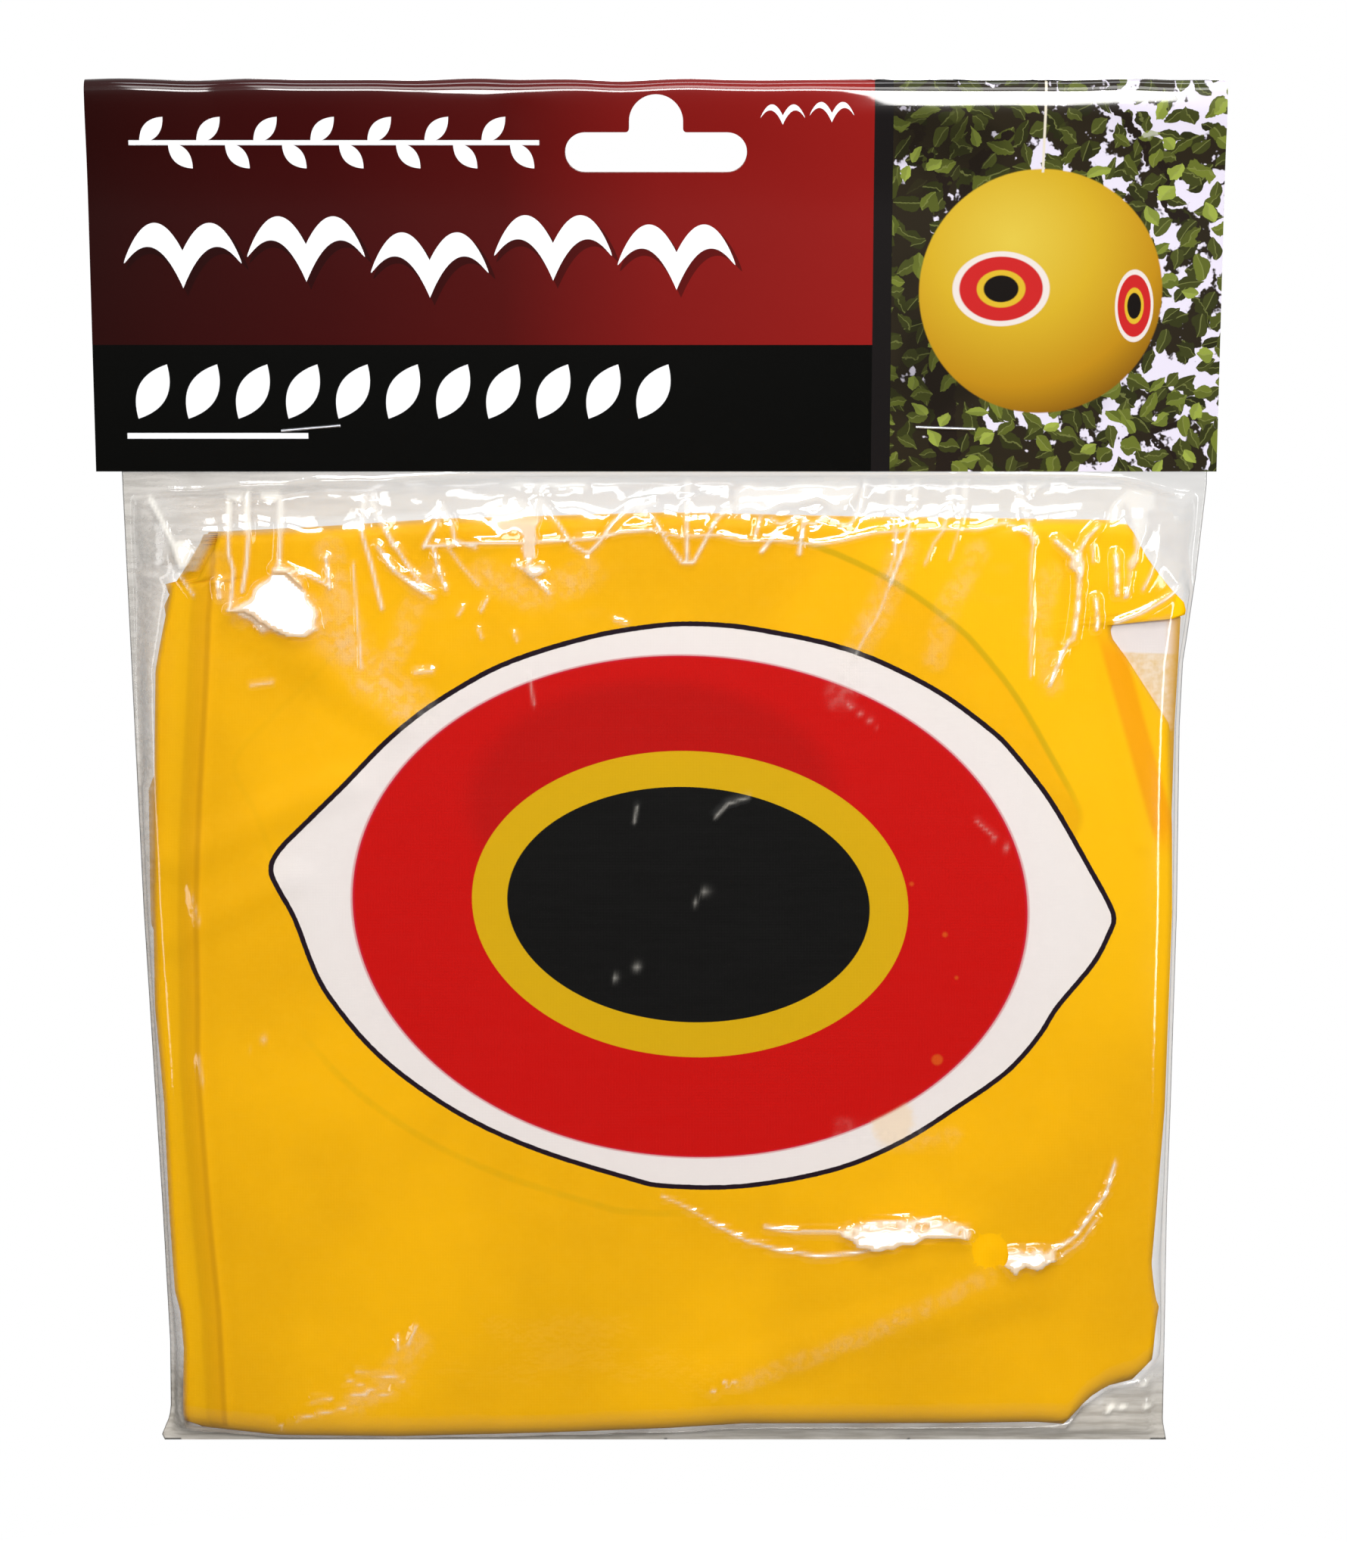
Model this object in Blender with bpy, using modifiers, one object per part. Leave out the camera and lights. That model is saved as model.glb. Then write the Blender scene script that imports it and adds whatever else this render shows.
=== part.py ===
"""Bird scare balloon, folded flat in its hanging pack.

A folded header card holds the mouth of a clear bag with two staples. In the bag lies a ball of six
vinyl gores, let down and letter-folded: the front panel, the top flap behind it with its tip turned
up again, and the bottom flap behind that. Both poles end in a hanging tab with an eyelet, and one
gore carries the inflation valve.

Metres, +Z up, front facing -Y. The origin is where a peg bears in the hang slot.
"""
import math

import bmesh
import bpy
from mathutils import Matrix, Vector

# Header card
CARD_WIDTH = 0.200
CARD_HEIGHT = 0.069
CARD_STOCK = 0.00035
SLOT_WIDTH = 0.032
SLOT_HEIGHT = 0.007
HUMP_WIDTH = 0.0095
HUMP_RISE = 0.0066
HUMP_FILLET = 0.0006
SLOT_TO_FOLD = 0.0025

# Staples
STAPLE_WIRE = 0.0006
STAPLE_CROWN = 0.0118
STAPLE_CLINCH = 0.0042
STAPLE_BEND = 0.0007
STAPLE_UP = 0.0078
STAPLE_LEFT_OUT = 0.0615
STAPLE_RIGHT_OUT = 0.0515
STAPLE_LEFT_TILT = math.radians(-4.9)
STAPLE_RIGHT_TILT = math.radians(2.0)

# Clear bag
FILM = 0.00008
MOUTH_HEIGHT = 0.034
MOUTH_BELOW_CARD = 0.0008
NECK_SPACE = 0.0085
NECK_HEIGHT = 0.0026
BOTTOM_SPACE = 0.0027
SIDE_WELD = 0.0013
BAG_SHIFT = 0.0013
EAR_OUT = 0.0012
EAR_HEIGHT = 0.004
VENT_WIDTH = 0.0065
VENT_OUT = 0.0602
VENT_UP = 0.036

# Balloon
GORE_WIDTH = 0.175
GORE_COUNT = 6
WELD_FLANGE = 0.005
VINYL = 0.00018
FOLD_HEIGHT_SHARE = 0.3276
FOLD_TOP_SHARE = 0.1347
GORE_FULLNESS_SHARE = 0.2
CORNER_TUCK = 0.009
TUCK_LENGTH = 0.013
LAYER_STEP = 0.0004

# Hanging tabs and eyelets
PATCH_WIDTH = 0.036
TAB_WIDTH = 0.012
EYELET_BORE = 0.0044
EYELET_BARREL = 0.0056
EYELET_RIM = 0.0084
EYELET_STOCK = 0.00035

# Inflation valve
VALVE_FLANGE = 0.020
VALVE_FLANGE_STOCK = 0.0004
VALVE_COLLAR = 0.0092
VALVE_COLLAR_HEIGHT = 0.0019
VALVE_BORE = 0.0056
PLUG_HEAD = 0.0086
PLUG_HEAD_STOCK = 0.0006
VALVE_UP = 0.075

# Clearances
SEAT = 0.0003
LAYER_GAP = 0.00022
EDGE_GAP = 0.00009
SIDE_ROOM = 0.0006
CUT_OVER = 0.002

# Counts of facets
COLUMNS = 6
ARC_STEPS = 5
ROUND = 24


# Sizes that follow from the ones above
GORE_LENGTH = GORE_COUNT / 2 * GORE_WIDTH
PITCH = VINYL + LAYER_GAP
EDGE_SHARE = (VINYL + EDGE_GAP) / PITCH
TIP_SLOTS = GORE_COUNT + 4
PILE_SLOTS = 3 * GORE_COUNT + TIP_SLOTS + 1
PILE_HALF_DEPTH = PILE_SLOTS * PITCH / 2
PILE_HALF_WIDTH = GORE_WIDTH / 2 + WELD_FLANGE
PILE_HEIGHT = GORE_LENGTH * FOLD_HEIGHT_SHARE

CARD_GAP = 2 * FILM + 2 * SEAT
CARD_HALF_DEPTH = CARD_GAP / 2 + CARD_STOCK
CARD_TOP = SLOT_TO_FOLD
CARD_BOTTOM = CARD_TOP - CARD_HEIGHT
STAPLE_Z = CARD_BOTTOM + STAPLE_UP

MOUTH_BOTTOM = CARD_BOTTOM - MOUTH_BELOW_CARD
MOUTH_TOP = MOUTH_BOTTOM + MOUTH_HEIGHT
NECK_TOP = MOUTH_BOTTOM - SEAT
NECK_BOTTOM = NECK_TOP - NECK_HEIGHT
POUCH_TOP = NECK_BOTTOM - SEAT
HINGE_Z = (NECK_TOP + NECK_BOTTOM) / 2

PILE_TOP = CARD_BOTTOM - NECK_SPACE
PILE_BOTTOM = PILE_TOP - PILE_HEIGHT
BAG_BOTTOM = PILE_BOTTOM - BOTTOM_SPACE
EQUATOR_Z = PILE_TOP - GORE_LENGTH * FOLD_TOP_SHARE
POCKET_HALF_WIDTH = PILE_HALF_WIDTH + LAYER_STEP + SIDE_ROOM
POCKET_EDGE_DEPTH = PILE_HALF_DEPTH * EDGE_SHARE + SEAT
BAG_FLAT_HALF_WIDTH = POCKET_HALF_WIDTH + SIDE_WELD + POCKET_EDGE_DEPTH / 2

TOP_BEND = (GORE_COUNT - 0.5) * PITCH
BOTTOM_BEND = (PILE_SLOTS / 2 - 1) * PITCH
TOP_BEND_Z = PILE_TOP - TOP_BEND - VINYL / 2
BOTTOM_BEND_Z = PILE_BOTTOM + BOTTOM_BEND + VINYL / 2
TIP_BEND_Z = BOTTOM_BEND_Z + GORE_COUNT * PITCH / 2


def clear_scene():
    for thing in list(bpy.data.objects):
        bpy.data.objects.remove(thing, do_unlink=True)


def make_collection(name):
    group = bpy.data.collections.new(name)
    bpy.context.scene.collection.children.link(group)
    return group


def make_material(name, colour, roughness, metallic=0.0, alpha=1.0):
    material = bpy.data.materials.new(name)
    material.use_nodes = True
    shader = material.node_tree.nodes["Principled BSDF"]
    shader.inputs["Base Color"].default_value = (*colour, 1.0)
    shader.inputs["Roughness"].default_value = roughness
    shader.inputs["Metallic"].default_value = metallic
    shader.inputs["Alpha"].default_value = alpha
    return material


def add_object(name, mesh, material=None):
    """Put a mesh in the part's collection, or among the cutters where it has no material."""
    thing = bpy.data.objects.new(name, mesh)
    if material is None:
        cutters.objects.link(thing)
        thing.hide_render = True
        thing.display_type = "WIRE"
    else:
        parts.objects.link(thing)
        mesh.materials.clear()
        mesh.materials.append(material)
    return thing


def finish_mesh(bm, name):
    """Turn every face outwards and hand the shape over as a mesh."""
    bmesh.ops.recalc_face_normals(bm, faces=bm.faces)
    mesh = bpy.data.meshes.new(name)
    bm.to_mesh(mesh)
    bm.free()
    return mesh


def boolean(thing, operation, other):
    step = thing.modifiers.new(operation.lower(), "BOOLEAN")
    step.operation = operation
    step.solver = "EXACT"
    step.object = other


def box(name, low, high, material=None):
    bm = bmesh.new()
    bmesh.ops.create_cube(bm, size=1)
    size = Vector(high) - Vector(low)
    centre = (Vector(high) + Vector(low)) / 2
    bmesh.ops.scale(bm, vec=size, verts=bm.verts)
    bmesh.ops.translate(bm, vec=centre, verts=bm.verts)
    return add_object(name, finish_mesh(bm, name), material)


def rod(name, centre, width, length, material=None):
    """A round bar along Y."""
    bm = bmesh.new()
    bmesh.ops.create_cone(bm, cap_ends=True, segments=ROUND, radius1=width / 2, radius2=width / 2,
                          depth=length, matrix=Matrix.Rotation(math.pi / 2, 4, "X"))
    bmesh.ops.translate(bm, vec=centre, verts=bm.verts)
    return add_object(name, finish_mesh(bm, name), material)


def turned(name, centre, profile, material):
    """A piece turned about Y: the profile lists (radius, y) round its section."""
    bm = bmesh.new()
    corners = [bm.verts.new((radius, y, 0)) for radius, y in profile]
    for here, there in zip(corners, corners[1:] + corners[:1]):
        bm.edges.new((here, there))
    bmesh.ops.spin(bm, geom=bm.verts[:] + bm.edges[:], cent=(0, 0, 0), axis=(0, 1, 0),
                   angle=2 * math.pi, steps=ROUND, use_merge=True)
    bmesh.ops.translate(bm, vec=centre, verts=bm.verts)
    mesh = finish_mesh(bm, name)
    mesh.shade_smooth()
    return add_object(name, mesh, material)


def arc(centre_x, centre_z, radius, start, end, steps=ARC_STEPS):
    """Points on an arc in the XZ plane, angles in degrees from +X."""
    angles = [math.radians(start + (end - start) * i / steps) for i in range(steps + 1)]
    return [(centre_x + radius * math.cos(a), centre_z + radius * math.sin(a)) for a in angles]


def prism(name, outline, low_y, high_y):
    """A flat outline in the XZ plane, drawn out along Y."""
    bm = bmesh.new()
    corners = [bm.verts.new((x, low_y, z)) for x, z in outline]
    face = bm.faces.new(corners)
    drawn = bmesh.ops.extrude_face_region(bm, geom=[face])
    moved = [item for item in drawn["geom"] if isinstance(item, bmesh.types.BMVert)]
    bmesh.ops.translate(bm, vec=(0, high_y - low_y, 0), verts=moved)
    return add_object(name, finish_mesh(bm, name))


def skin(bm, rings):
    """Join closed rings of points into one closed tube with flat ends."""
    loops = [[bm.verts.new(point) for point in ring] for ring in rings]
    count = len(loops[0])
    for here, there in zip(loops, loops[1:]):
        for i in range(count):
            j = (i + 1) % count
            bm.faces.new((here[i], here[j], there[j], there[i]))
    bm.faces.new(loops[0])
    bm.faces.new(loops[-1])


def ease(share):
    """Rise smoothly from 0 to 1."""
    share = min(max(share, 0.0), 1.0)
    return share * share * (3 - 2 * share)


# Header card: one sheet folded over the bag's mouth, with the hang slot punched through both panels
def slot_outline():
    """Long slot with round ends and a round hump on top, where the peg bears."""
    end = SLOT_HEIGHT / 2
    top = -HUMP_RISE
    reach = SLOT_WIDTH / 2 - end
    half = HUMP_WIDTH / 2
    fillet = HUMP_FILLET
    hump = arc(0, -half, half, 0, 180, 2 * ARC_STEPS)
    left = arc(-half - fillet, top + fillet, fillet, 0, -90)
    right = arc(half + fillet, top + fillet, fillet, -90, -180)
    far_left = arc(-reach, top - end, end, 90, 270, 2 * ARC_STEPS)
    far_right = arc(reach, top - end, end, -90, 90, 2 * ARC_STEPS)
    return hump + left + far_left + far_right + right


def staple_legs(x, tilt):
    """The two places where a staple's legs go through, about the middle of its crown."""
    along = Vector((math.cos(tilt), 0, -math.sin(tilt)))
    middle = Vector((x, 0, STAPLE_Z))
    return [middle + along * side * STAPLE_CROWN / 2 for side in (-1, 1)]


def staple_holes():
    """Round holes for the legs, as cutters through card and film."""
    holes = []
    for x, tilt in ((-STAPLE_LEFT_OUT, STAPLE_LEFT_TILT), (STAPLE_RIGHT_OUT, STAPLE_RIGHT_TILT)):
        for place in staple_legs(x, tilt):
            width = STAPLE_WIRE + 2 * SEAT
            depth = 2 * (CARD_HALF_DEPTH + CUT_OVER)
            holes.append(rod(f"staple_hole_{len(holes) + 1}", place, width, depth))
    return holes


def make_card(material, holes):
    sheet = (CARD_GAP + CARD_STOCK) / 2
    over = [(x, z) for x, z in arc(0, CARD_TOP - CARD_STOCK / 2 - sheet, sheet, 180, 0, 8)]
    path = [(-sheet, CARD_BOTTOM)] + over + [(sheet, CARD_BOTTOM)]
    bm = bmesh.new()
    line = [bm.verts.new((-CARD_WIDTH / 2, y, z)) for y, z in path]
    edges = [bm.edges.new(pair) for pair in zip(line, line[1:])]
    drawn = bmesh.ops.extrude_edge_only(bm, edges=edges)
    moved = [item for item in drawn["geom"] if isinstance(item, bmesh.types.BMVert)]
    bmesh.ops.translate(bm, vec=(CARD_WIDTH, 0, 0), verts=moved)
    card = add_object("header_card", finish_mesh(bm, "header_card"), material)
    wall = card.modifiers.new("stock", "SOLIDIFY")
    wall.thickness = CARD_STOCK
    wall.offset = 0
    wall.use_even_offset = True
    depth = CARD_HALF_DEPTH + CUT_OVER
    boolean(card, "DIFFERENCE", prism("hang_slot", slot_outline(), -depth, depth))
    for hole in holes:
        boolean(card, "DIFFERENCE", hole)
    return card


# Staples: round wire, the crown on the front of the card and the legs clinched behind it
def rounded_path(points, radius, steps):
    """A chain of points with each inner corner turned in an arc."""
    path = [points[0]]
    for before, corner, after in zip(points, points[1:], points[2:]):
        back = (before - corner).normalized()
        ahead = (after - corner).normalized()
        for i in range(steps + 1):
            share = i / steps
            start = corner + back * radius * (1 - share)
            end = corner + ahead * radius * share
            path.append(start.lerp(end, share))
    path.append(points[-1])
    return path


def make_staple(name, x, tilt, material):
    half = STAPLE_CROWN / 2
    depth = CARD_HALF_DEPTH + SEAT + STAPLE_WIRE / 2
    tip = half - STAPLE_CLINCH
    corners = [(-tip, depth), (-half, depth), (-half, -depth), (half, -depth), (half, depth),
               (tip, depth)]
    path = rounded_path([Vector((px, py, 0)) for px, py in corners], STAPLE_BEND, 4)
    curve = bpy.data.curves.new(name, "CURVE")
    curve.dimensions = "3D"
    curve.bevel_depth = STAPLE_WIRE / 2
    curve.bevel_resolution = 2
    curve.use_fill_caps = True
    spline = curve.splines.new("POLY")
    spline.points.add(len(path) - 1)
    for point, place in zip(spline.points, path):
        point.co = (*place, 1)
    staple = bpy.data.objects.new(name, curve)
    staple.location = (x, 0, STAPLE_Z)
    staple.rotation_euler = (0, tilt, 0)
    curve.materials.append(material)
    parts.objects.link(staple)


# Clear bag: mouth held in the card, free neck, and the pocket round the balloon
def make_mouth(material, holes):
    low = (BAG_SHIFT - BAG_FLAT_HALF_WIDTH, -FILM, MOUTH_BOTTOM)
    high = (BAG_SHIFT + BAG_FLAT_HALF_WIDTH, FILM, MOUTH_TOP)
    mouth = box("bag_mouth", low, high, material)
    for hole in holes:
        boolean(mouth, "DIFFERENCE", hole)


def make_neck(material):
    low = (BAG_SHIFT - BAG_FLAT_HALF_WIDTH, -FILM, NECK_BOTTOM)
    high = (BAG_SHIFT + BAG_FLAT_HALF_WIDTH, FILM, NECK_TOP)
    box("bag_neck", low, high, material)


def crown(x):
    """How thick the pile is at x, as a share of its middle."""
    share = min(abs(x - BAG_SHIFT) / PILE_HALF_WIDTH, 1.0)
    return 1 - (1 - EDGE_SHARE) * share ** 2


def pocket_stations():
    """Height, half depth of the hollow and half width of the welded edge, down the pocket."""
    shoulder = GORE_COUNT * PITCH + PITCH * 2
    full = PILE_HALF_DEPTH + SEAT
    rows = [(PILE_TOP + SEAT, shoulder)]
    for share in (0.25, 0.6, 1.0):
        rise = math.sqrt(1 - (1 - share) ** 2)
        rows.append((PILE_TOP + SEAT - TOP_BEND * share, shoulder + (full - shoulder) * rise))
    body = TOP_BEND_Z - BOTTOM_BEND_Z
    rows += [(TOP_BEND_Z - body * share, full) for share in (0.06, 0.14, 0.24, 0.4, 0.6, 0.8, 1.0)]
    round_end = BOTTOM_BEND + VINYL / 2 + SEAT + PITCH
    for angle in (25, 45, 62):
        turn = math.radians(angle)
        rows.append((BOTTOM_BEND_Z - round_end * math.sin(turn), full * math.cos(turn) + PITCH))
    return rows


def edge_out(z):
    """Half width of the bag's welded edge: flat at the neck, drawn in by the pile, flared at the ears."""
    drawn_in = ease((POUCH_TOP - z) / (PILE_TOP - EQUATOR_Z) * 2)
    ear = ease(1 - (z - BAG_BOTTOM) / EAR_HEIGHT)
    slack = BAG_FLAT_HALF_WIDTH - POCKET_HALF_WIDTH - SIDE_WELD
    return POCKET_HALF_WIDTH + SIDE_WELD + slack * (1 - drawn_in) + EAR_OUT * ear


def film_section(z, depth, outside):
    """A closed ring round the pocket at one height: its hollow, or its outside with the side welds."""
    side = POCKET_HALF_WIDTH - SIDE_ROOM / 2
    half = [(side * share, 1) for share in (0, 0.22, 0.45, 0.7, 0.9, 1)] + [(POCKET_HALF_WIDTH, 0.3)]
    whole = [(-across, fall) for across, fall in half[:0:-1]] + half
    front = []
    for across, fall in whole:
        y = depth * fall * crown(BAG_SHIFT + across)
        if outside:
            across += FILM * across / POCKET_HALF_WIDTH
            y += FILM
        front.append((BAG_SHIFT + across, -y, z))
    if outside:
        out = edge_out(z)
        front = [(BAG_SHIFT - out, -FILM, z)] + front + [(BAG_SHIFT + out, -FILM, z)]
    back = [(x, -y, z) for x, y, z in reversed(front)]
    return front + back


def make_pouch(material):
    rows = pocket_stations()
    thin = FILM / 2
    lid = POUCH_TOP - NECK_HEIGHT / 4
    foot = BAG_BOTTOM + BOTTOM_SPACE / 4
    outer = [film_section(POUCH_TOP, 0, True), film_section(lid, thin, True)]
    outer += [film_section(z, depth, True) for z, depth in rows]
    outer += [film_section(foot, thin, True), film_section(BAG_BOTTOM, 0, True)]
    inner = [film_section(lid - FILM, thin, False)]
    inner += [film_section(z, depth, False) for z, depth in rows]
    inner += [film_section(foot + FILM, thin, False)]
    bm = bmesh.new()
    skin(bm, outer)
    bmesh.ops.recalc_face_normals(bm, faces=bm.faces)
    hollow = bmesh.new()
    skin(hollow, inner)
    solid = bpy.data.meshes.new("bag_pouch")
    bm.to_mesh(solid)
    bm.free()
    pouch = add_object("bag_pouch", solid, material)
    boolean(pouch, "DIFFERENCE", add_object("pocket", finish_mesh(hollow, "pocket")))
    place = (BAG_SHIFT + VENT_OUT, -PILE_HALF_DEPTH, BAG_BOTTOM + VENT_UP)
    boolean(pouch, "DIFFERENCE", rod("vent", place, VENT_WIDTH, PILE_HALF_DEPTH / 2))


# Balloon: six gores laid on each other, then letter-folded as one stack
def slot_y(index):
    """Where a layer lies, counted in layer thicknesses from the front of the pile."""
    return (index - PILE_SLOTS / 2) * PITCH


def bend(centre_index, centre_z, radius, start, end, steps):
    """Points and outward normals round a fold, angles in degrees from +Y towards +Z."""
    turn = []
    for i in range(steps + 1):
        angle = math.radians(start + (end - start) * i / steps)
        out = (math.cos(angle), math.sin(angle))
        centre = (slot_y(centre_index), centre_z)
        turn.append((centre[0] + radius * out[0], centre[1] + radius * out[1], out))
    return turn


def run(index, start_z, end_z, shares, out):
    """A flat stretch of one layer, with its outward normal."""
    return [(slot_y(index), start_z + (end_z - start_z) * share, out) for share in shares]


def top_half(layer):
    """One layer from the equator up over the top fold, down the flap and up its turned tip."""
    over = math.pi * GORE_COUNT * PITCH / 2
    to_fold = TOP_BEND_Z - EQUATOR_Z
    flap = TOP_BEND_Z - TIP_BEND_Z
    tip = GORE_LENGTH / 2 - to_fold - flap - 2 * over
    ups = (0, 0.5 - TUCK_LENGTH / to_fold / 2, 1 - TUCK_LENGTH / to_fold)
    downs = (TUCK_LENGTH / flap, 0.22, 0.36, 0.5, 0.64, 0.82)
    ends = (0.5, 1 - SEAT / tip)
    turns = [i / ARC_STEPS for i in range(ARC_STEPS + 1)]
    front = run(layer + 0.5, EQUATOR_Z, TOP_BEND_Z, ups, (-1, 0))
    fold = bend(GORE_COUNT, TOP_BEND_Z, (GORE_COUNT - layer - 0.5) * PITCH, 180, 0, ARC_STEPS)
    back = run(2 * GORE_COUNT - 0.5 - layer, TOP_BEND_Z, TIP_BEND_Z, downs, (1, 0))
    turn = bend(2 * GORE_COUNT + 0.5, TIP_BEND_Z, (layer + 1) * PITCH, -180, 0, ARC_STEPS)
    turn = [(y, z, (-out[0], -out[1])) for y, z, out in turn]
    end = run(2 * GORE_COUNT + 1.5 + layer, TIP_BEND_Z, TIP_BEND_Z + tip, ends, (-1, 0))
    spans = [to_fold * share for share in ups]
    spans += [to_fold + over * share for share in turns]
    spans += [to_fold + over + flap * share for share in downs]
    spans += [to_fold + over + flap + over * share for share in turns]
    spans += [to_fold + over + flap + over + tip * share for share in ends]
    return list(zip(front + fold + back + turn + end, spans))


def bottom_half(layer):
    """One layer from the equator down, round the bottom fold and up the back of the pile."""
    middle = BOTTOM_BEND - (GORE_COUNT - 1) * PITCH / 2
    round_end = math.pi * middle
    to_fold = EQUATOR_Z - BOTTOM_BEND_Z
    flap = GORE_LENGTH / 2 - to_fold - round_end
    shares = (0.3, 0.65)
    front = run(layer + 0.5, EQUATOR_Z, BOTTOM_BEND_Z, shares, (-1, 0))
    steps = ARC_STEPS + 2
    fold = bend(PILE_SLOTS / 2 - 0.5, BOTTOM_BEND_Z, BOTTOM_BEND - layer * PITCH, 180, 360, steps)
    ups = (0.16, 0.32, 0.46, 0.6, 0.72, 0.83, 0.92, 1 - SEAT / flap)
    back = run(PILE_SLOTS - 1.5 - layer, BOTTOM_BEND_Z, BOTTOM_BEND_Z + flap, ups, (1, 0))
    spans = [to_fold * share for share in shares]
    spans += [to_fold + round_end * i / steps for i in range(steps + 1)]
    spans += [to_fold + round_end + flap * share for share in ups]
    return [(place, -span) for place, span in zip(front + fold + back, spans)]


def half_width(span):
    """Half the width of a gore with its weld flanges, at a distance from the equator."""
    share = min(abs(span) / (GORE_LENGTH / 2), 1.0)
    fullness = GORE_FULLNESS_SHARE + (1 - GORE_FULLNESS_SHARE) * share ** 2
    lens = max(math.cos(share * math.pi / 2), 0.0) ** fullness
    fold = TOP_BEND_Z - EQUATOR_Z + math.pi * GORE_COUNT * PITCH / 4
    tuck = CORNER_TUCK * max(0.0, 1 - abs(span - fold) / TUCK_LENGTH)
    return GORE_WIDTH / 2 * lens + WELD_FLANGE - tuck


def make_gore(number, layer, material):
    """One gore: a sheet that follows its layer through every fold."""
    stations = list(reversed(bottom_half(layer))) + top_half(layer)
    step = LAYER_STEP * (-1) ** layer
    rings = []
    for (y, z, out), span in stations:
        half = half_width(span)
        near = []
        far = []
        for i in range(COLUMNS + 1):
            x = BAG_SHIFT + step + half * (2 * i / COLUMNS - 1)
            middle = y * crown(x)
            near.append((x, middle + out[0] * VINYL / 2, z + out[1] * VINYL / 2))
            far.append((x, middle - out[0] * VINYL / 2, z - out[1] * VINYL / 2))
        rings.append(near + far[::-1])
    bm = bmesh.new()
    skin(bm, rings)
    mesh = finish_mesh(bm, f"balloon_gore_{number}")
    return add_object(f"balloon_gore_{number}", mesh, material)


# Hanging tabs: a vinyl patch folded over the gore tips, drawn out into a tongue with an eyelet
def make_hanger(name, index, pole_z, vinyl, metal):
    middle = slot_y(index)
    inside = (GORE_COUNT + 1) * PITCH / 2 - VINYL / 2
    outside = inside + VINYL
    patch = rod(name, (BAG_SHIFT, middle, pole_z), PATCH_WIDTH, 2 * outside, vinyl)
    half = PATCH_WIDTH / 2 + CUT_OVER
    keep = box(f"{name}_keep", (BAG_SHIFT - half, middle - 2 * outside, pole_z - half),
               (BAG_SHIFT + half, middle + 2 * outside, pole_z + VINYL))
    boolean(patch, "INTERSECT", keep)
    hollow = box(f"{name}_hollow", (BAG_SHIFT - half, middle - inside, pole_z - half),
                 (BAG_SHIFT + half, middle + inside, pole_z))
    boolean(patch, "DIFFERENCE", hollow)
    eye_z = pole_z + TAB_WIDTH / 2
    tongue = box(f"{name}_tongue", (BAG_SHIFT - TAB_WIDTH / 2, middle - VINYL, pole_z + VINYL / 2),
                 (BAG_SHIFT + TAB_WIDTH / 2, middle + VINYL, eye_z))
    boolean(patch, "UNION", tongue)
    boolean(patch, "UNION", rod(f"{name}_end", (BAG_SHIFT, middle, eye_z), TAB_WIDTH, 2 * VINYL))
    hole = EYELET_BARREL + SEAT
    boolean(patch, "DIFFERENCE", rod(f"{name}_hole", (BAG_SHIFT, middle, eye_z), hole, CUT_OVER))
    bore = EYELET_BORE / 2
    barrel = EYELET_BARREL / 2
    rim = EYELET_RIM / 2
    inner = VINYL + SEAT / 2
    outer = inner + EYELET_STOCK
    profile = [(bore, -outer), (rim, -outer), (rim, -inner), (barrel, -inner), (barrel, inner),
               (rim, inner), (rim, outer), (bore, outer)]
    turned(f"{name}_eyelet", (BAG_SHIFT, middle, eye_z), profile, metal)


# Inflation valve: a flanged collar on the fourth gore, closed by its plug
def make_valve(gore, vinyl):
    place_z = BOTTOM_BEND_Z + VALVE_UP
    face = slot_y(PILE_SLOTS - 0.5 - GORE_COUNT) - VINYL / 2
    centre = (BAG_SHIFT, 0, place_z)
    base = face - SEAT / 2
    step = base - VALVE_FLANGE_STOCK
    lip = step - VALVE_COLLAR_HEIGHT + VALVE_FLANGE_STOCK
    bore = VALVE_BORE / 2
    profile = [(bore, base), (VALVE_FLANGE / 2, base), (VALVE_FLANGE / 2, step),
               (VALVE_COLLAR / 2, step), (VALVE_COLLAR / 2, lip), (bore, lip)]
    turned("valve_collar", centre, profile, vinyl)
    seat = lip - SEAT / 2
    head = seat - PLUG_HEAD_STOCK
    stem = bore - SEAT / 2
    plug = rod("valve_plug", (BAG_SHIFT, (head + seat) / 2, place_z), PLUG_HEAD,
               PLUG_HEAD_STOCK, vinyl)
    length = VALVE_COLLAR_HEIGHT
    middle = seat + (length - PLUG_HEAD_STOCK) / 2
    boolean(plug, "UNION", rod("plug_stem", (BAG_SHIFT, middle, place_z), 2 * stem, length))
    hole = rod("inflation_hole", (BAG_SHIFT, face + VINYL / 2, place_z), VALVE_BORE, 2 * PITCH)
    boolean(gore, "DIFFERENCE", hole)


clear_scene()
parts = make_collection("bird_scare_balloon_pack")
cutters = make_collection("cutters")

card_print = make_material("red card", (0.30, 0.012, 0.010), 0.35)
steel = make_material("steel wire", (0.55, 0.55, 0.56), 0.30, metallic=1.0)
clear_film = make_material("clear film", (0.90, 0.90, 0.90), 0.12, alpha=0.25)
yellow_vinyl = make_material("yellow vinyl", (0.86, 0.42, 0.006), 0.40)
brass = make_material("brass", (0.80, 0.58, 0.22), 0.30, metallic=1.0)

leg_holes = staple_holes()
make_card(card_print, leg_holes)
make_staple("staple_left", -STAPLE_LEFT_OUT, STAPLE_LEFT_TILT, steel)
make_staple("staple_right", STAPLE_RIGHT_OUT, STAPLE_RIGHT_TILT, steel)
make_mouth(clear_film, leg_holes)
make_neck(clear_film)
make_pouch(clear_film)

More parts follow.
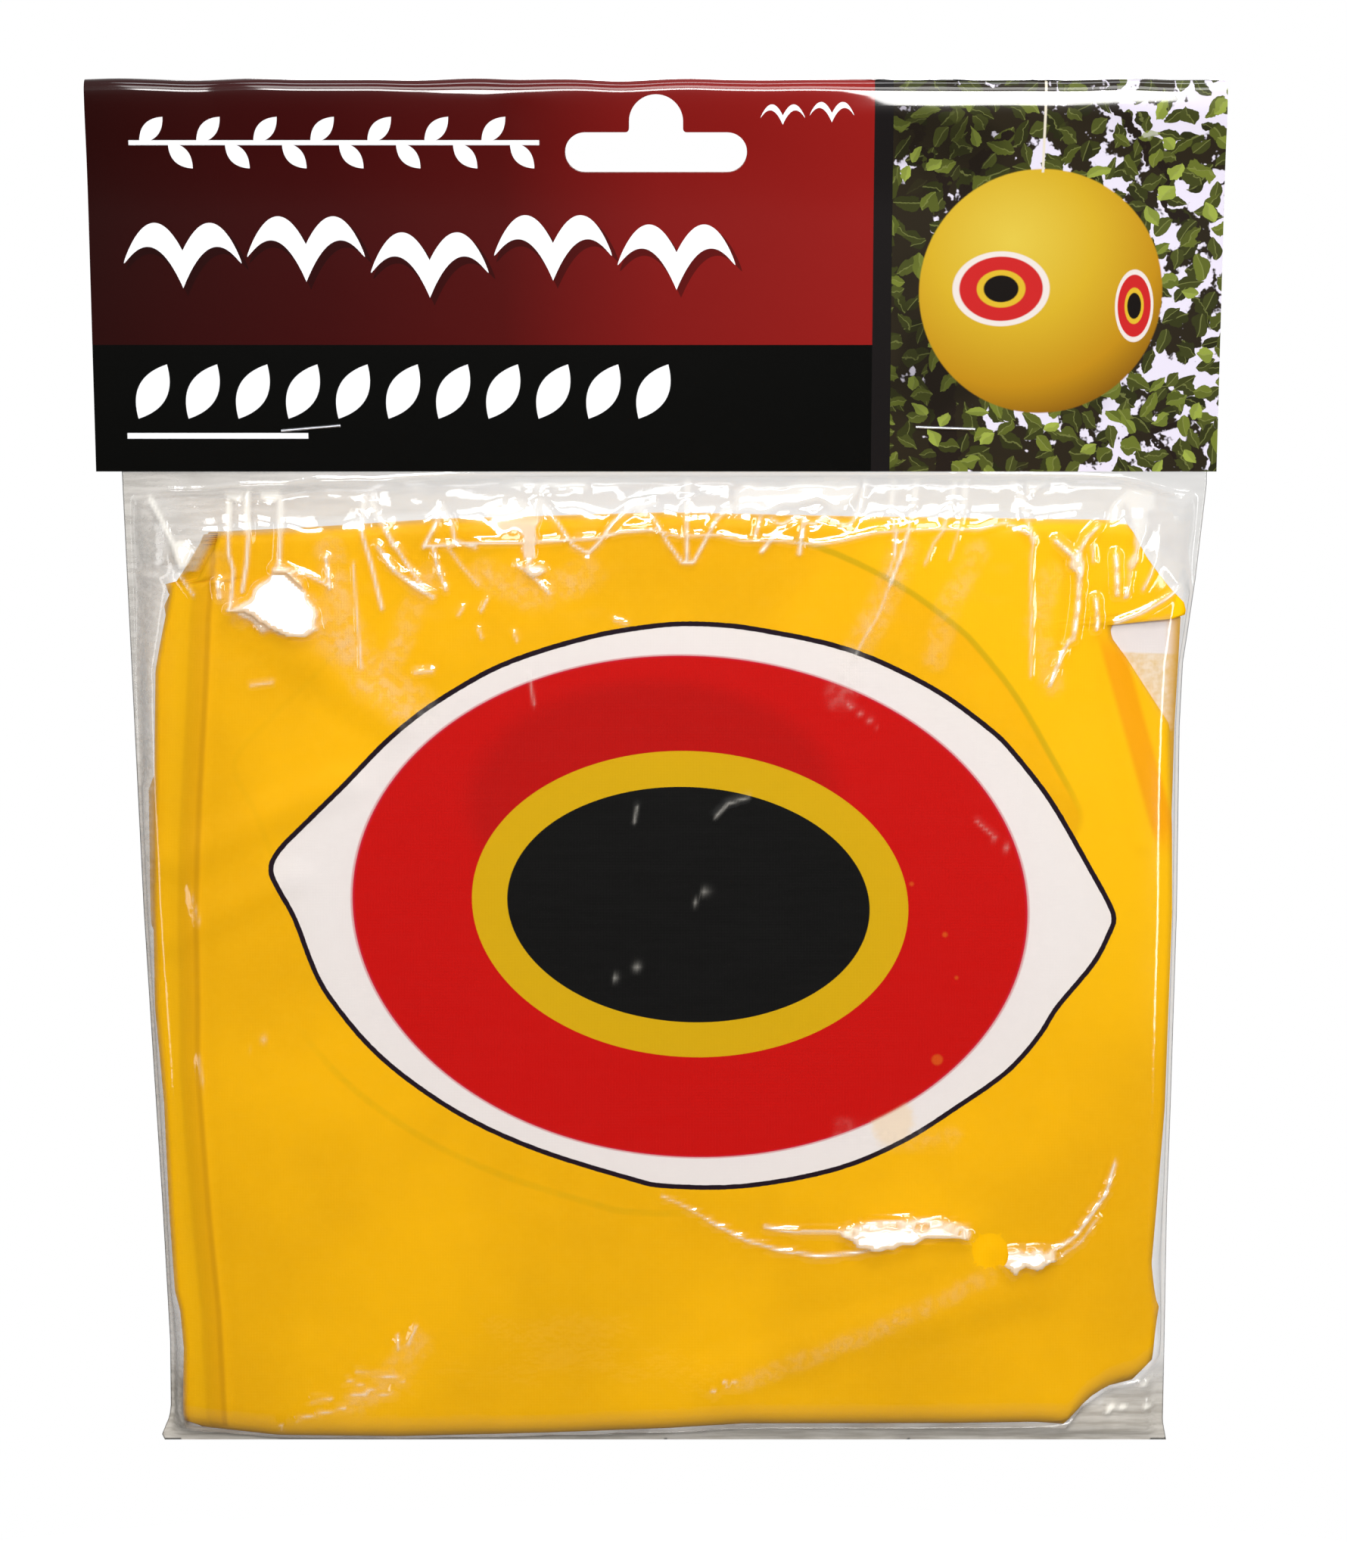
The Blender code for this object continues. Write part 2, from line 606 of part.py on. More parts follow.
# Front to back, the flattened ball lies in this order, its side gussets tucked between
gores = {number: make_gore(number, layer, yellow_vinyl)
         for layer, number in enumerate((1, 2, 3, 6, 5, 4))}
over_fold = math.pi * GORE_COUNT * PITCH / 2
TOP_POLE_Z = TIP_BEND_Z + GORE_LENGTH / 2 - (TOP_BEND_Z - EQUATOR_Z) - 2 * over_fold \
    - (TOP_BEND_Z - TIP_BEND_Z)
BOTTOM_POLE_Z = BOTTOM_BEND_Z + GORE_LENGTH / 2 - (EQUATOR_Z - BOTTOM_BEND_Z) \
    - math.pi * (BOTTOM_BEND - (GORE_COUNT - 1) * PITCH / 2)
make_hanger("top_tab", 2 * GORE_COUNT + 1 + GORE_COUNT / 2, TOP_POLE_Z, yellow_vinyl, brass)
make_hanger("bottom_tab", PILE_SLOTS - 1 - GORE_COUNT / 2, BOTTOM_POLE_Z, yellow_vinyl, brass)
make_valve(gores[4], yellow_vinyl)
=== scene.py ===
import math

import bpy
import numpy as np
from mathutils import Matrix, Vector, noise


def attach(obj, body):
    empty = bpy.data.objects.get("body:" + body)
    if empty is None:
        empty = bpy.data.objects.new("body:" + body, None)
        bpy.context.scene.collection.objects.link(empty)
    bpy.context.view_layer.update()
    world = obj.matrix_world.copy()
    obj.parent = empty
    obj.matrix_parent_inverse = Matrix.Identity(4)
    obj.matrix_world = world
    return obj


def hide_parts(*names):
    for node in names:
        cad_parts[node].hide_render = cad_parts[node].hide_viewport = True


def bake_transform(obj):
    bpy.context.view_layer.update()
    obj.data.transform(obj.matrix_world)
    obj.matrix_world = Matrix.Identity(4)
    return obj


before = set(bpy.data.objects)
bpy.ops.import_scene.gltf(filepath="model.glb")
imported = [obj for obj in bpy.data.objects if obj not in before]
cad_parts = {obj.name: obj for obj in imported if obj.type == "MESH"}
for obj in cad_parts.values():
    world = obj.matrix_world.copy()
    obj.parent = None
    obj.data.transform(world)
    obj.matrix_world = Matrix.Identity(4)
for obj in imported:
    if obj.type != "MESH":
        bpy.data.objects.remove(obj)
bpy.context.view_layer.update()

# Stage: the pack hangs from a peg in open air, well above a white floor, and is seen from a little
# above by a long lens. Two soft lamps stand in front, one level and one high, with weak strips at the
# sides and above, and a wide lamp behind shines through the empty film.
scene = bpy.context.scene
scene.view_settings.view_transform = "Standard"
aim = Vector((0.00307, 0.0, -0.12367))
camera_distance = 0.73555
camera_tilt = math.radians(12)
sensor_size = 36
focal_pixels = 5352
picture_height = 2072
bpy.ops.object.select_all(action="DESELECT")
bpy.ops.object.camera_add(
    location=aim + camera_distance * Vector((0, -math.cos(camera_tilt), math.sin(camera_tilt))),
    rotation=(math.radians(90) - camera_tilt, 0, 0),
)
camera = bpy.context.object
camera.data.sensor_width = sensor_size
camera.data.lens = sensor_size * focal_pixels / picture_height
scene.camera = camera


def paint(red, green, blue):
    """A colour as it looks on screen, 0 to 255, turned into light levels."""
    levels = []
    for channel in (red, green, blue):
        shown = channel / 255
        levels.append(shown / 12.92 if shown < 0.04045 else ((shown + 0.055) / 1.055) ** 2.4)
    return (*levels, 1.0)


class Signal:
    """A socket of a material's nodes. Sums and products of signals add Math nodes."""

    def __init__(self, tree, socket=None):
        self.tree = tree
        self.socket = socket

    def node(self, kind, settings=(), sockets=(), out=0):
        made = self.tree.nodes.new(kind)
        for name, value in dict(settings).items():
            if name == "stops":
                ramp = made.color_ramp
                while len(ramp.elements) < len(value):
                    ramp.elements.new(1.0)
                for element, (place, colour) in zip(ramp.elements, value):
                    element.position = place
                    element.color = colour
            else:
                setattr(made, name, value)
        for name, value in dict(sockets).items():
            if isinstance(value, Signal):
                self.tree.links.new(value.socket, made.inputs[name])
            else:
                made.inputs[name].default_value = value
        return Signal(self.tree, made.outputs[out] if made.outputs else None)

    def output(self, name):
        """Another output of the node that this signal leaves."""
        return Signal(self.tree, self.socket.node.outputs[name])

    def grain(self, spot, scale, detail):
        """Soft random patches from 0 to 1, as many to the millimetre as the scale says."""
        return self.node("ShaderNodeTexNoise", sockets={"Vector": spot, "Scale": scale, "Detail": detail})

    def stretch(self, spot, amounts):
        return self.node("ShaderNodeMapping", sockets={0: spot, "Scale": amounts})

    def noted(self, name):
        """The number that note() keeps for each corner of the piece."""
        return self.node("ShaderNodeAttribute", {"attribute_name": name}, out=2)

    def math(self, operation, first, second=0.0, third=0.0):
        return self.node("ShaderNodeMath", {"operation": operation}, {0: first, 1: second, 2: third})

    def __add__(self, other):
        return self.math("ADD", self, other)

    __radd__ = __add__

    def __sub__(self, other):
        return self.math("SUBTRACT", self, other)

    def __rsub__(self, other):
        return self.math("SUBTRACT", other, self)

    def __mul__(self, other):
        return self.math("MULTIPLY", self, other)

    __rmul__ = __mul__

    def __truediv__(self, other):
        return self.math("DIVIDE", self, other)

    def __pow__(self, other):
        return self.math("POWER", self, other)

    def __abs__(self):
        return self.math("ABSOLUTE", self)

    def above(self, level, soft):
        """1 where the signal is above the level, with a soft edge."""
        return self.node("ShaderNodeMapRange", {"interpolation_type": "SMOOTHSTEP"},
                         {"Value": self, "From Min": level - soft, "From Max": level + soft})

    def below(self, level, soft):
        return 1 - self.above(level, soft)

    def between(self, low, high, soft):
        return self.above(low, soft) * self.below(high, soft)

    def mix(self, first, second):
        """Colour: the first where this mask is 0, the second where it is 1."""
        return self.node("ShaderNodeMix", {"data_type": "RGBA"}, {0: self, 6: first, 7: second}, 2)


def new_finish(name):
    """An empty material, and a signal to hang its nodes on."""
    material = bpy.data.materials.new(name)
    material.use_nodes = True
    material.node_tree.nodes.clear()
    return material, Signal(material.node_tree)


def place_of(start):
    """Object coordinates in millimetres, as three signals and a vector."""
    spot = start.node("ShaderNodeTexCoord", out=3)
    spot = start.node("ShaderNodeVectorMath", {"operation": "SCALE"}, {0: spot, "Scale": 1000.0})
    split = spot.node("ShaderNodeSeparateXYZ", sockets={0: spot})
    return split, split.output(1), split.output(2), spot


def surface(start, sockets):
    """Close a material with a plain shader and its output."""
    shader = start.node("ShaderNodeBsdfPrincipled", sockets=sockets)
    start.node("ShaderNodeOutputMaterial", sockets={0: shader})


world = bpy.data.worlds.new("studio air")
scene.world = world
world.use_nodes = True
world.node_tree.nodes.clear()
air = Signal(world.node_tree)
up = air.node("ShaderNodeSeparateXYZ", sockets={0: air.node("ShaderNodeTexCoord", out=0)}, out=2)
back = up.output(1)
soft_sky = 0.014 + 0.36 * up.above(0.12, 0.30)
rays = air.node("ShaderNodeLightPath")
seen = rays.math("MAXIMUM", rays, rays.output("Is Transmission Ray"))
seen = seen.math("MAXIMUM", seen, rays.output("Is Glossy Ray") * back.above(0.35, 0.2) * 0.25)
glow = seen.mix(soft_sky, (1, 1, 1, 1))
air.node("ShaderNodeOutputWorld", sockets={0: air.node("ShaderNodeBackground", sockets={0: glow})})

floor_drop = 0.75
floor_radius = 1.2
bpy.ops.mesh.primitive_circle_add(
    vertices=96, radius=floor_radius, fill_type="NGON", location=(0, 0, -floor_drop))
floor = bpy.context.object
floor.name = "floor"
bpy.ops.object.transform_apply(location=True, rotation=True, scale=True)
floor_paint, start = new_finish("white floor")
lit = start.node("ShaderNodeBsdfDiffuse", sockets={0: (0.42, 0.42, 0.42, 1)})
bright = start.node("ShaderNodeEmission", sockets={0: (0.86, 0.86, 0.86, 1)})
both = start.node("ShaderNodeAddShader", sockets={0: lit, 1: bright})
plain = start.node("ShaderNodeBsdfDiffuse", sockets={0: (0.20, 0.20, 0.20, 1)})
rays = start.node("ShaderNodeLightPath")
by_ray = rays.math("MAXIMUM", rays, rays.output("Is Transmission Ray"))
start.node("ShaderNodeOutputMaterial",
           sockets={0: start.node("ShaderNodeMixShader", sockets={0: by_ray, 1: plain, 2: both})})
floor.data.materials.append(floor_paint)

pack_middle = Vector((0, 0, -0.12))
lamps = (
    ("front key", (0.01, -0.80, 0.18), (0.38, 0.14), 4.5, (1.0, 0.99, 0.97)),
    ("high key", (0.06, -0.62, 0.44), (0.50, 0.26), 2.85, (1.0, 0.99, 0.97)),
    ("left strip", (-0.58, -0.66, -0.10), (0.12, 0.60), 0.6, (1.0, 1.0, 1.0)),
    ("right strip", (0.58, -0.66, -0.10), (0.12, 0.60), 1.6, (1.0, 1.0, 1.0)),
    ("top strip", (0.05, -0.12, 0.62), (0.5, 0.10), 1.2, (0.95, 0.97, 1.0)),
    ("back fill", (0.25, 1.10, 0.25), (0.9, 0.7), 12.0, (1.0, 1.0, 1.0)),
)
for name, place, size, power, colour in lamps:
    bpy.ops.object.light_add(type="AREA", location=place)
    lamp = bpy.context.object
    lamp.name = name
    lamp.data.shape = "RECTANGLE"
    lamp.data.size, lamp.data.size_y = size
    lamp.data.energy = power
    lamp.data.color = colour
    lamp.visible_camera = False
    lamp.rotation_euler = (pack_middle - Vector(place)).to_track_quat("-Z", "Y").to_euler()


def new_grid(name, columns, rows):
    """A flat grid to be bent into a sheet. Its corners run along the columns first."""
    bpy.ops.object.select_all(action="DESELECT")
    bpy.ops.mesh.primitive_grid_add(x_subdivisions=columns, y_subdivisions=rows, size=1)
    piece = bpy.context.object
    piece.name = name
    piece.data.name = name
    return piece


def bend_to(piece, x, y, z):
    """Move every corner of a grid to its place in the sheet."""
    places = np.stack([np.asarray(part, float).ravel() for part in (x, y, z)], axis=1)
    piece.data.vertices.foreach_set("co", places.astype(np.float32).ravel())
    piece.data.update()


def places_in(piece):
    spots = np.empty(len(piece.data.vertices) * 3, np.float32)
    piece.data.vertices.foreach_get("co", spots)
    return spots.reshape(-1, 3).astype(float)


def note(piece, name, values):
    """Keep one number per corner, for the material to read."""
    layer = piece.data.attributes.new(name, "FLOAT", "POINT")
    layer.data.foreach_set("value", np.asarray(values, np.float32).ravel())


def apply_all(piece):
    bpy.context.view_layer.objects.active = piece
    for modifier in list(piece.modifiers):
        bpy.ops.object.modifier_apply(modifier=modifier.name)


def ease(share):
    share = np.clip(share, 0, 1)
    return share * share * (3 - 2 * share)


def rough(x, z, size, seed):
    """Smooth unevenness from -1 to 1 over the front, with lumps of that size in metres."""
    flat = zip(np.ravel(x), np.ravel(z))
    made = [noise.noise(Vector((a / size, seed, b / size))) for a, b in flat]
    return np.array(made).reshape(np.shape(x))


def mm(*numbers):
    return [number / 1000 for number in numbers]


# Header card: one sheet of laminated card folded over the mouth of the bag, so that the fold springs
# open a little. The hang slot is punched through both panels and shows the white core of the card.
card_wide = 0.200
card_stock = 0.00035
card_top = 0.0025
card_foot = -0.0665
panel_depth = 0.00055
fold_depth = 0.00165
fold_rise = 0.0020
fold_start = card_top - fold_rise
flare_start = -0.022
panel_rows = 84
turn_rows = 18
heights = np.linspace(card_foot, fold_start, panel_rows + 1)
flare = ease((heights - flare_start) / (fold_start - flare_start)) ** 1.4
spread = panel_depth + (fold_depth - panel_depth) * flare
turns = np.linspace(math.pi, 0, turn_rows + 1)[1:-1]
path_y = np.concatenate([-spread, fold_depth * np.cos(turns), spread[::-1]])
path_z = np.concatenate([heights, fold_start + (fold_rise - card_stock / 2) * np.sin(turns), heights[::-1]])
card_columns = 100
card = new_grid("header_card_folded", card_columns, len(path_y) - 1)
across = np.linspace(-card_wide / 2, card_wide / 2, card_columns + 1)
card_x, card_y = np.meshgrid(across, path_y)
card_z = np.repeat(path_z[:, None], card_columns + 1, axis=1)
near_fold = ease((card_z + 0.012) / 0.012)
sway = 0.00022 * np.sin(card_x / 0.021 + 0.6) + 0.00016 * np.sin(card_x / 0.0083)
card_y = card_y + np.sign(card_y) * np.abs(sway) * near_fold * (np.abs(card_y) > 0.0002)
card_z += 0.00040 * rough(card_x, card_z * 0, 0.0125, 12.0) * ease((card_z + 0.0015) / 0.002)
for dimple_x, dimple_z, dimple_wide, dimple_deep in (mm(-23.5, -3.4, 3.5, 0.22), mm(27, -11, 7, -0.12)):
    reach = np.hypot(card_x - dimple_x, card_z - dimple_z) / dimple_wide
    card_y += dimple_deep * np.exp(-reach ** 2) * (card_y < 0)
level = card_z * 0
wave = 0.0005 * rough(card_x, level, 0.011, 2.0) + 0.0003 * rough(card_x, level, 0.004, 6.0)
lean_back = np.clip((card_z + 0.0030 + wave) / 0.0044, 0, 1) * ease((card_x - 0.026) / 0.016)
left_lean = ease(1 - np.abs(card_x + 0.029) / 0.020)
lean_back += 0.5 * np.clip((card_z + 0.0004 + wave) / 0.0022, 0, 1) * left_lean
card_y += 0.00060 * lean_back * (card_y < -0.0003)
bend_to(card, card_x, card_y, card_z)
card.modifiers.new("stock", "SOLIDIFY").thickness = card_stock
card.modifiers["stock"].offset = 0


def arc(centre_x, centre_z, radius, start, end, steps):
    angles = [math.radians(start + (end - start) * i / steps) for i in range(steps + 1)]
    return [(centre_x + radius * math.cos(a), centre_z + radius * math.sin(a)) for a in angles]


slot_end = 0.0035
slot_reach = 0.016 - slot_end
slot_top = -0.0066
hump = 0.0095 / 2
fillet = 0.0006
slot_line = arc(0, -hump, hump, 0, 180, 24) + arc(-hump - fillet, slot_top + fillet, fillet, 0, -90, 5)
slot_line += arc(-slot_reach, slot_top - slot_end, slot_end, 90, 270, 18)
slot_line += arc(slot_reach, slot_top - slot_end, slot_end, -90, 90, 18)
slot_line += arc(hump + fillet, slot_top + fillet, fillet, -90, -180, 5)
punch_reach = 0.01
punch_mesh = bpy.data.meshes.new("slot_punch")
punch_mesh.from_pydata([(x, -punch_reach, z) for x, z in slot_line], [], [list(range(len(slot_line)))])
punch = bpy.data.objects.new("slot_punch", punch_mesh)
scene.collection.objects.link(punch)
bpy.ops.object.select_all(action="DESELECT")
punch.select_set(True)
bpy.context.view_layer.objects.active = punch
bpy.ops.object.mode_set(mode="EDIT")
bpy.ops.mesh.select_all(action="SELECT")
bpy.ops.mesh.extrude_region_move(TRANSFORM_OT_translate={"value": (0, 2 * punch_reach, 0)})
bpy.ops.mesh.select_all(action="SELECT")
bpy.ops.mesh.normals_make_consistent(inside=False)
bpy.ops.object.mode_set(mode="OBJECT")
cut = card.modifiers.new("slot", "BOOLEAN")
cut.object = punch
cut.solver = "EXACT"
apply_all(card)
bpy.data.objects.remove(punch)

card_print, start = new_finish("laminated print")
x, y, z, spot = place_of(start)
field = start.node("ShaderNodeMapRange", sockets={"Value": x, "From Min": -100.0, "From Max": 40.0})
red = field.node("ShaderNodeValToRGB", {"stops": (
    (0.0, paint(36, 8, 7)), (0.30, paint(56, 9, 9)), (0.52, paint(74, 13, 12)),
    (0.72, paint(116, 20, 18)), (1.0, paint(136, 24, 21)))}, {0: field})
black = paint(6, 6, 5)
white = paint(242, 242, 246)
front_only = y.below(-0.3, 0.1)


def gulls(centre_x, centre_z, spacing, count, half_wing, lift, thick):
    """A row of birds in flight: two bowed wings each, thin at the tips."""
    cell = (x - (centre_x - spacing * count / 2)) / spacing
    inside = cell.between(0, count, 0.002)
    step = cell.math("FLOOR", cell)
    offset = (cell - step - 0.5) * spacing
    bob = step.math("SINE", step * 2.4) * (lift * 0.28)
    wing = abs(offset) / half_wing
    bow = (1 - (1 - 1.9 * wing) ** 2) * lift
    body = thick * wing.math("MAXIMUM", 1 - wing, 0.0) ** 0.6
    reach = abs(z - centre_z - bob - bow + lift * 0.4)
    return (body - reach).above(0.0, 0.06) * wing.below(1.0, 0.01) * inside


def leaves(centre_x, centre_z, spacing, count, long, wide, lean, flip):
    """A row of pointed leaves on the slant; every second one is turned over where flip is 1."""
    cell = (x - (centre_x - spacing * count / 2)) / spacing
    inside = cell.between(0, count, 0.002)
    step = cell.math("FLOOR", cell)
    offset = (cell - step - 0.5) * spacing
    side = 1 - 2 * flip * step.math("MODULO", step, 2.0)
    rise = (z - centre_z) * side - flip * long * 0.36
    along = (rise * math.cos(lean) + offset * math.sin(lean)) / (long / 2)
    across = (offset * math.cos(lean) - rise * math.sin(lean)) / (wide / 2)
    leaf = 1 - along * along - abs(across)
    return leaf.above(0.0, 0.03) * inside


big_gulls = gulls(-40, -28.2, 21.8, 5, 10.4, 6.0, 3.3)
gull_shade = gulls(-39.2, -29.3, 21.8, 5, 10.8, 6.0, 3.6) * front_only
feathers = leaves(-45, -52.2, 8.9, 11, 11.0, 5.2, 0.5, 0)
sprig = leaves(-56, -8.4, 5.0, 14, 6.2, 2.9, 0.75, 1)
stem = (0.42 - abs(z + 8.4)).above(0.0, 0.1) * x.between(-92.5, -20.5, 0.1)
far_gulls = gulls(26.5, -3.6, 8.6, 2, 3.9, 2.2, 0.8)
rule = (0.5 - abs(z + 60.1)).above(0.0, 0.08) * x.between(-94.2, -62.0, 0.1)
marks = big_gulls.math("MAXIMUM", big_gulls, feathers)
for extra in (sprig, stem, far_gulls, rule):
    marks = marks.math("MAXIMUM", marks, extra)
red = (gull_shade * 0.55).mix(red, paint(24, 8, 8))
in_field = z.above(-43.9, 0.08) * x.below(38.4, 0.08)
left_part = in_field.mix(black, red)
left_part = (marks * front_only).mix(left_part, white)

# Its picture shows leafy branches against a bright sky, with a plain ball hung among them
flat = start.node("ShaderNodeCombineXYZ", sockets={0: x, 1: z})
patchy = start.node("ShaderNodeTexNoise", {"noise_dimensions": "2D"},
                    {"Vector": flat, "Scale": 0.13, "Detail": 4.0, "Roughness": 0.6})
gloom = start.node("ShaderNodeTexNoise", {"noise_dimensions": "2D"},
                   {"Vector": flat, "Scale": 0.055, "Detail": 2.0})
sky_more = patchy + (x - 70) * 0.0045 + abs(z + 34) * 0.0016
picture = sky_more.above(0.60, 0.02).mix(paint(40, 34, 24), paint(214, 208, 224))


def limb(picture, start_x, start_z, end_x, end_z, half):
    """A dark branch between two places in millimetres, a little crooked."""
    run_x, run_z = end_x - start_x, end_z - start_z
    size = run_x * run_x + run_z * run_z
    crook = (patchy - 0.5) * 9.0
    share = ((x - start_x) * run_x + (z - start_z) * run_z) / size
    share = share.math("MAXIMUM", share.math("MINIMUM", share, 1.0), 0.0)
    off_x = x - start_x - share * run_x + crook
    off_z = z - start_z - share * run_z + crook * 0.5
    off = (off_x * off_x + off_z * off_z) ** 0.5
    return (half * (1.25 - share * 0.5) - off).above(0.0, 0.12).mix(picture, paint(34, 27, 22))


def foliage(picture, pitch, turn, seed, share_kept, dark, pale):
    """One layer of leaves, each pointed, turned its own way and darker on one side of its rib."""
    across_x = x * (math.cos(turn) / pitch) + z * (math.sin(turn) / pitch) + (patchy - 0.5) * 1.1
    across_z = z * (math.cos(turn) / pitch) - x * (math.sin(turn) / pitch) + (gloom - 0.5) * 1.3
    step_x, step_z = across_x.math("FLOOR", across_x), across_z.math("FLOOR", across_z)
    chance = start.node("ShaderNodeTexWhiteNoise", {"noise_dimensions": "3D"}, {
        "Vector": start.node("ShaderNodeCombineXYZ", sockets={0: step_x, 1: step_z, 2: seed})}, 1)
    first = start.node("ShaderNodeSeparateColor", sockets={0: chance})
    second, third = first.output(1), first.output(2)
    angle = first * 6.2832
    leaf_x = across_x - step_x - 0.5 + (second - 0.5) * 0.2
    leaf_z = across_z - step_z - 0.5 + (third - 0.5) * 0.2
    sine, cosine = angle.math("SINE", angle), angle.math("COSINE", angle)
    long = (leaf_x * cosine + leaf_z * sine) / 0.43
    wide = (leaf_z * cosine - leaf_x * sine) / 0.25
    leaf = (1 - long * long - abs(wide)).above(0.02, 0.05) * second.below(share_kept, 0.01)
    tone = (third * 0.75 + wide.above(0.0, 0.08) * 0.25).mix(dark, pale)
    tone = ((0.07 - abs(wide)).above(0.0, 0.03) * 0.4).mix(tone, paint(136, 142, 80))
    return leaf.mix(picture, tone)


picture = foliage(picture, 5.6, 0.3, 11.0, 0.95, paint(36, 36, 20), paint(62, 66, 28))
picture = foliage(picture, 4.6, 1.1, 23.0, 0.85, paint(40, 40, 22), paint(78, 84, 36))
limbs = ((52, -68, 50, -38, 1.7), (50, -38, 56, -12, 1.3), (56, -12, 74, 4, 0.8), (54, -20, 42, -2, 0.7),
         (80, 3, 92, -22, 0.8), (90, -18, 101, -15, 0.5), (78, -62, 100, -56, 0.7), (88, -60, 94, -67, 0.4))
for ends in limbs:
    picture = limb(picture, *ends)
picture = foliage(picture, 5.2, 1.9, 37.0, 0.55, paint(50, 52, 24), paint(108, 118, 46))
picture = foliage(picture, 4.2, 2.6, 51.0, 0.30, paint(72, 80, 30), paint(150, 164, 70))
picture = (gloom.below(0.46, 0.10) * x.below(76, 14) * 0.5).mix(picture, paint(22, 19, 13))
ball_x, ball_z, ball_wide = 68.0, -34.5, 21.5
from_ball = ((x - ball_x) ** 2 + (z - ball_z) ** 2) ** 0.5 / ball_wide
ball_lit = ((x - ball_x + 5) ** 2 + (z - ball_z - 9) ** 2) ** 0.5 / (ball_wide * 1.5)
ball_tone = ball_lit.node("ShaderNodeValToRGB", {"stops": (
    (0.0, paint(206, 180, 66)), (0.45, paint(196, 160, 38)), (0.8, paint(176, 128, 22)),
    (1.0, paint(122, 82, 16)))}, {0: ball_lit})
for eye_x, eye_z, eye_wide, eye_high in ((61.0, -34.0, 8.6, 6.6), (84.6, -37.0, 3.4, 6.4)):
    eye_far = (((x - eye_x) / eye_wide) ** 2 + ((z - eye_z) / eye_high) ** 2) ** 0.5
    for size, tone in ((1.0, paint(216, 206, 200)), (0.86, paint(186, 36, 36)), (0.5, paint(204, 168, 44)),
                       (0.36, paint(22, 18, 16))):
        ball_tone = eye_far.below(size, 0.02).mix(ball_tone, tone)
picture = from_ball.below(1.0, 0.008).mix(picture, ball_tone)
string = (0.22 - abs(x - ball_x - 0.02 * (z - ball_z - ball_wide))).above(0.0, 0.1) * z.above(
    ball_z + ball_wide - 0.6, 0.1)
picture = string.mix(picture, paint(214, 206, 188))
print_tone = x.above(41.6, 0.06).mix(left_part, picture)
print_tone = x.between(38.3, 41.6, 0.08).mix(print_tone, paint(24, 21, 21))
back_tone = in_field.mix(black, red)
print_tone = front_only.mix(back_tone, print_tone)
speckle = start.grain(spot, 2.6, 2.0)
ripple = start.grain(spot, 0.09, 2.0)
relief = ripple * 0.16 + speckle * 0.004
lamination = start.node("ShaderNodeBump", sockets={"Height": relief, "Strength": 0.35, "Distance": 0.0012})
surface(start, {"Base Color": print_tone, "Roughness": 0.26 + speckle * 0.12, "Normal": lamination,
                "Specular IOR Level": 0.03, "Coat Weight": 1.0, "Coat Roughness": 0.07})

card_core, start = new_finish("cut card edge")
pulp = start.grain(place_of(start)[3], 3.0, 4.0)
surface(start, {"Base Color": pulp.mix(paint(212, 206, 198), paint(246, 243, 238)), "Roughness": 0.85})
card.data.materials.append(card_print)
card.data.materials.append(card_core)
slot_zone_x, slot_zone_foot, slot_zone_top = mm(16.5, -14.0, 0.6)
for face in card.data.polygons:
    edge_on = abs(face.normal.y) < 0.35
    rim = abs(face.center.x) > card_wide / 2 - 1e-5 or face.center.z < card_foot + 1e-5
    in_slot = edge_on and abs(face.center.x) < slot_zone_x and slot_zone_foot < face.center.z < slot_zone_top
    if rim or in_slot:
        face.material_index = 1
bpy.ops.object.select_all(action="DESELECT")
card.select_set(True)
bpy.context.view_layer.objects.active = card
bpy.ops.object.shade_smooth_by_angle(angle=math.radians(40))
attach(card, "header")
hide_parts("header_card")

# Staples: flattened galvanised wire driven from the front through card and film, and clinched
# against the back panel.
wire_wide = 0.00062
wire_thick = 0.00046
staple_crown = 0.0118
staple_up = card_foot + 0.0078
staple_leg = 0.0042
staple_bend = 0.0006
film_gap = 0.00006
steel, start = new_finish("galvanised wire")
spot = place_of(start)[3]
drawn = start.grain(start.stretch(spot, (0.6, 6.0, 9.0)), 1.0, 3.0)
dull = start.grain(spot, 1.2, 3.0)
surface(start, {"Base Color": drawn.mix(paint(150, 152, 158), paint(206, 208, 214)), "Metallic": 1.0,
                "Roughness": 0.26 + dull * 0.22})
half = staple_crown / 2
out = panel_depth + card_stock / 2 + wire_thick / 2 + film_gap
flat_leg = staple_leg - staple_bend
through = 2 * out - 2 * staple_bend
left_turn, right_turn = -half + staple_bend, half - staple_bend
front_turn, back_turn = -out + staple_bend, out - staple_bend
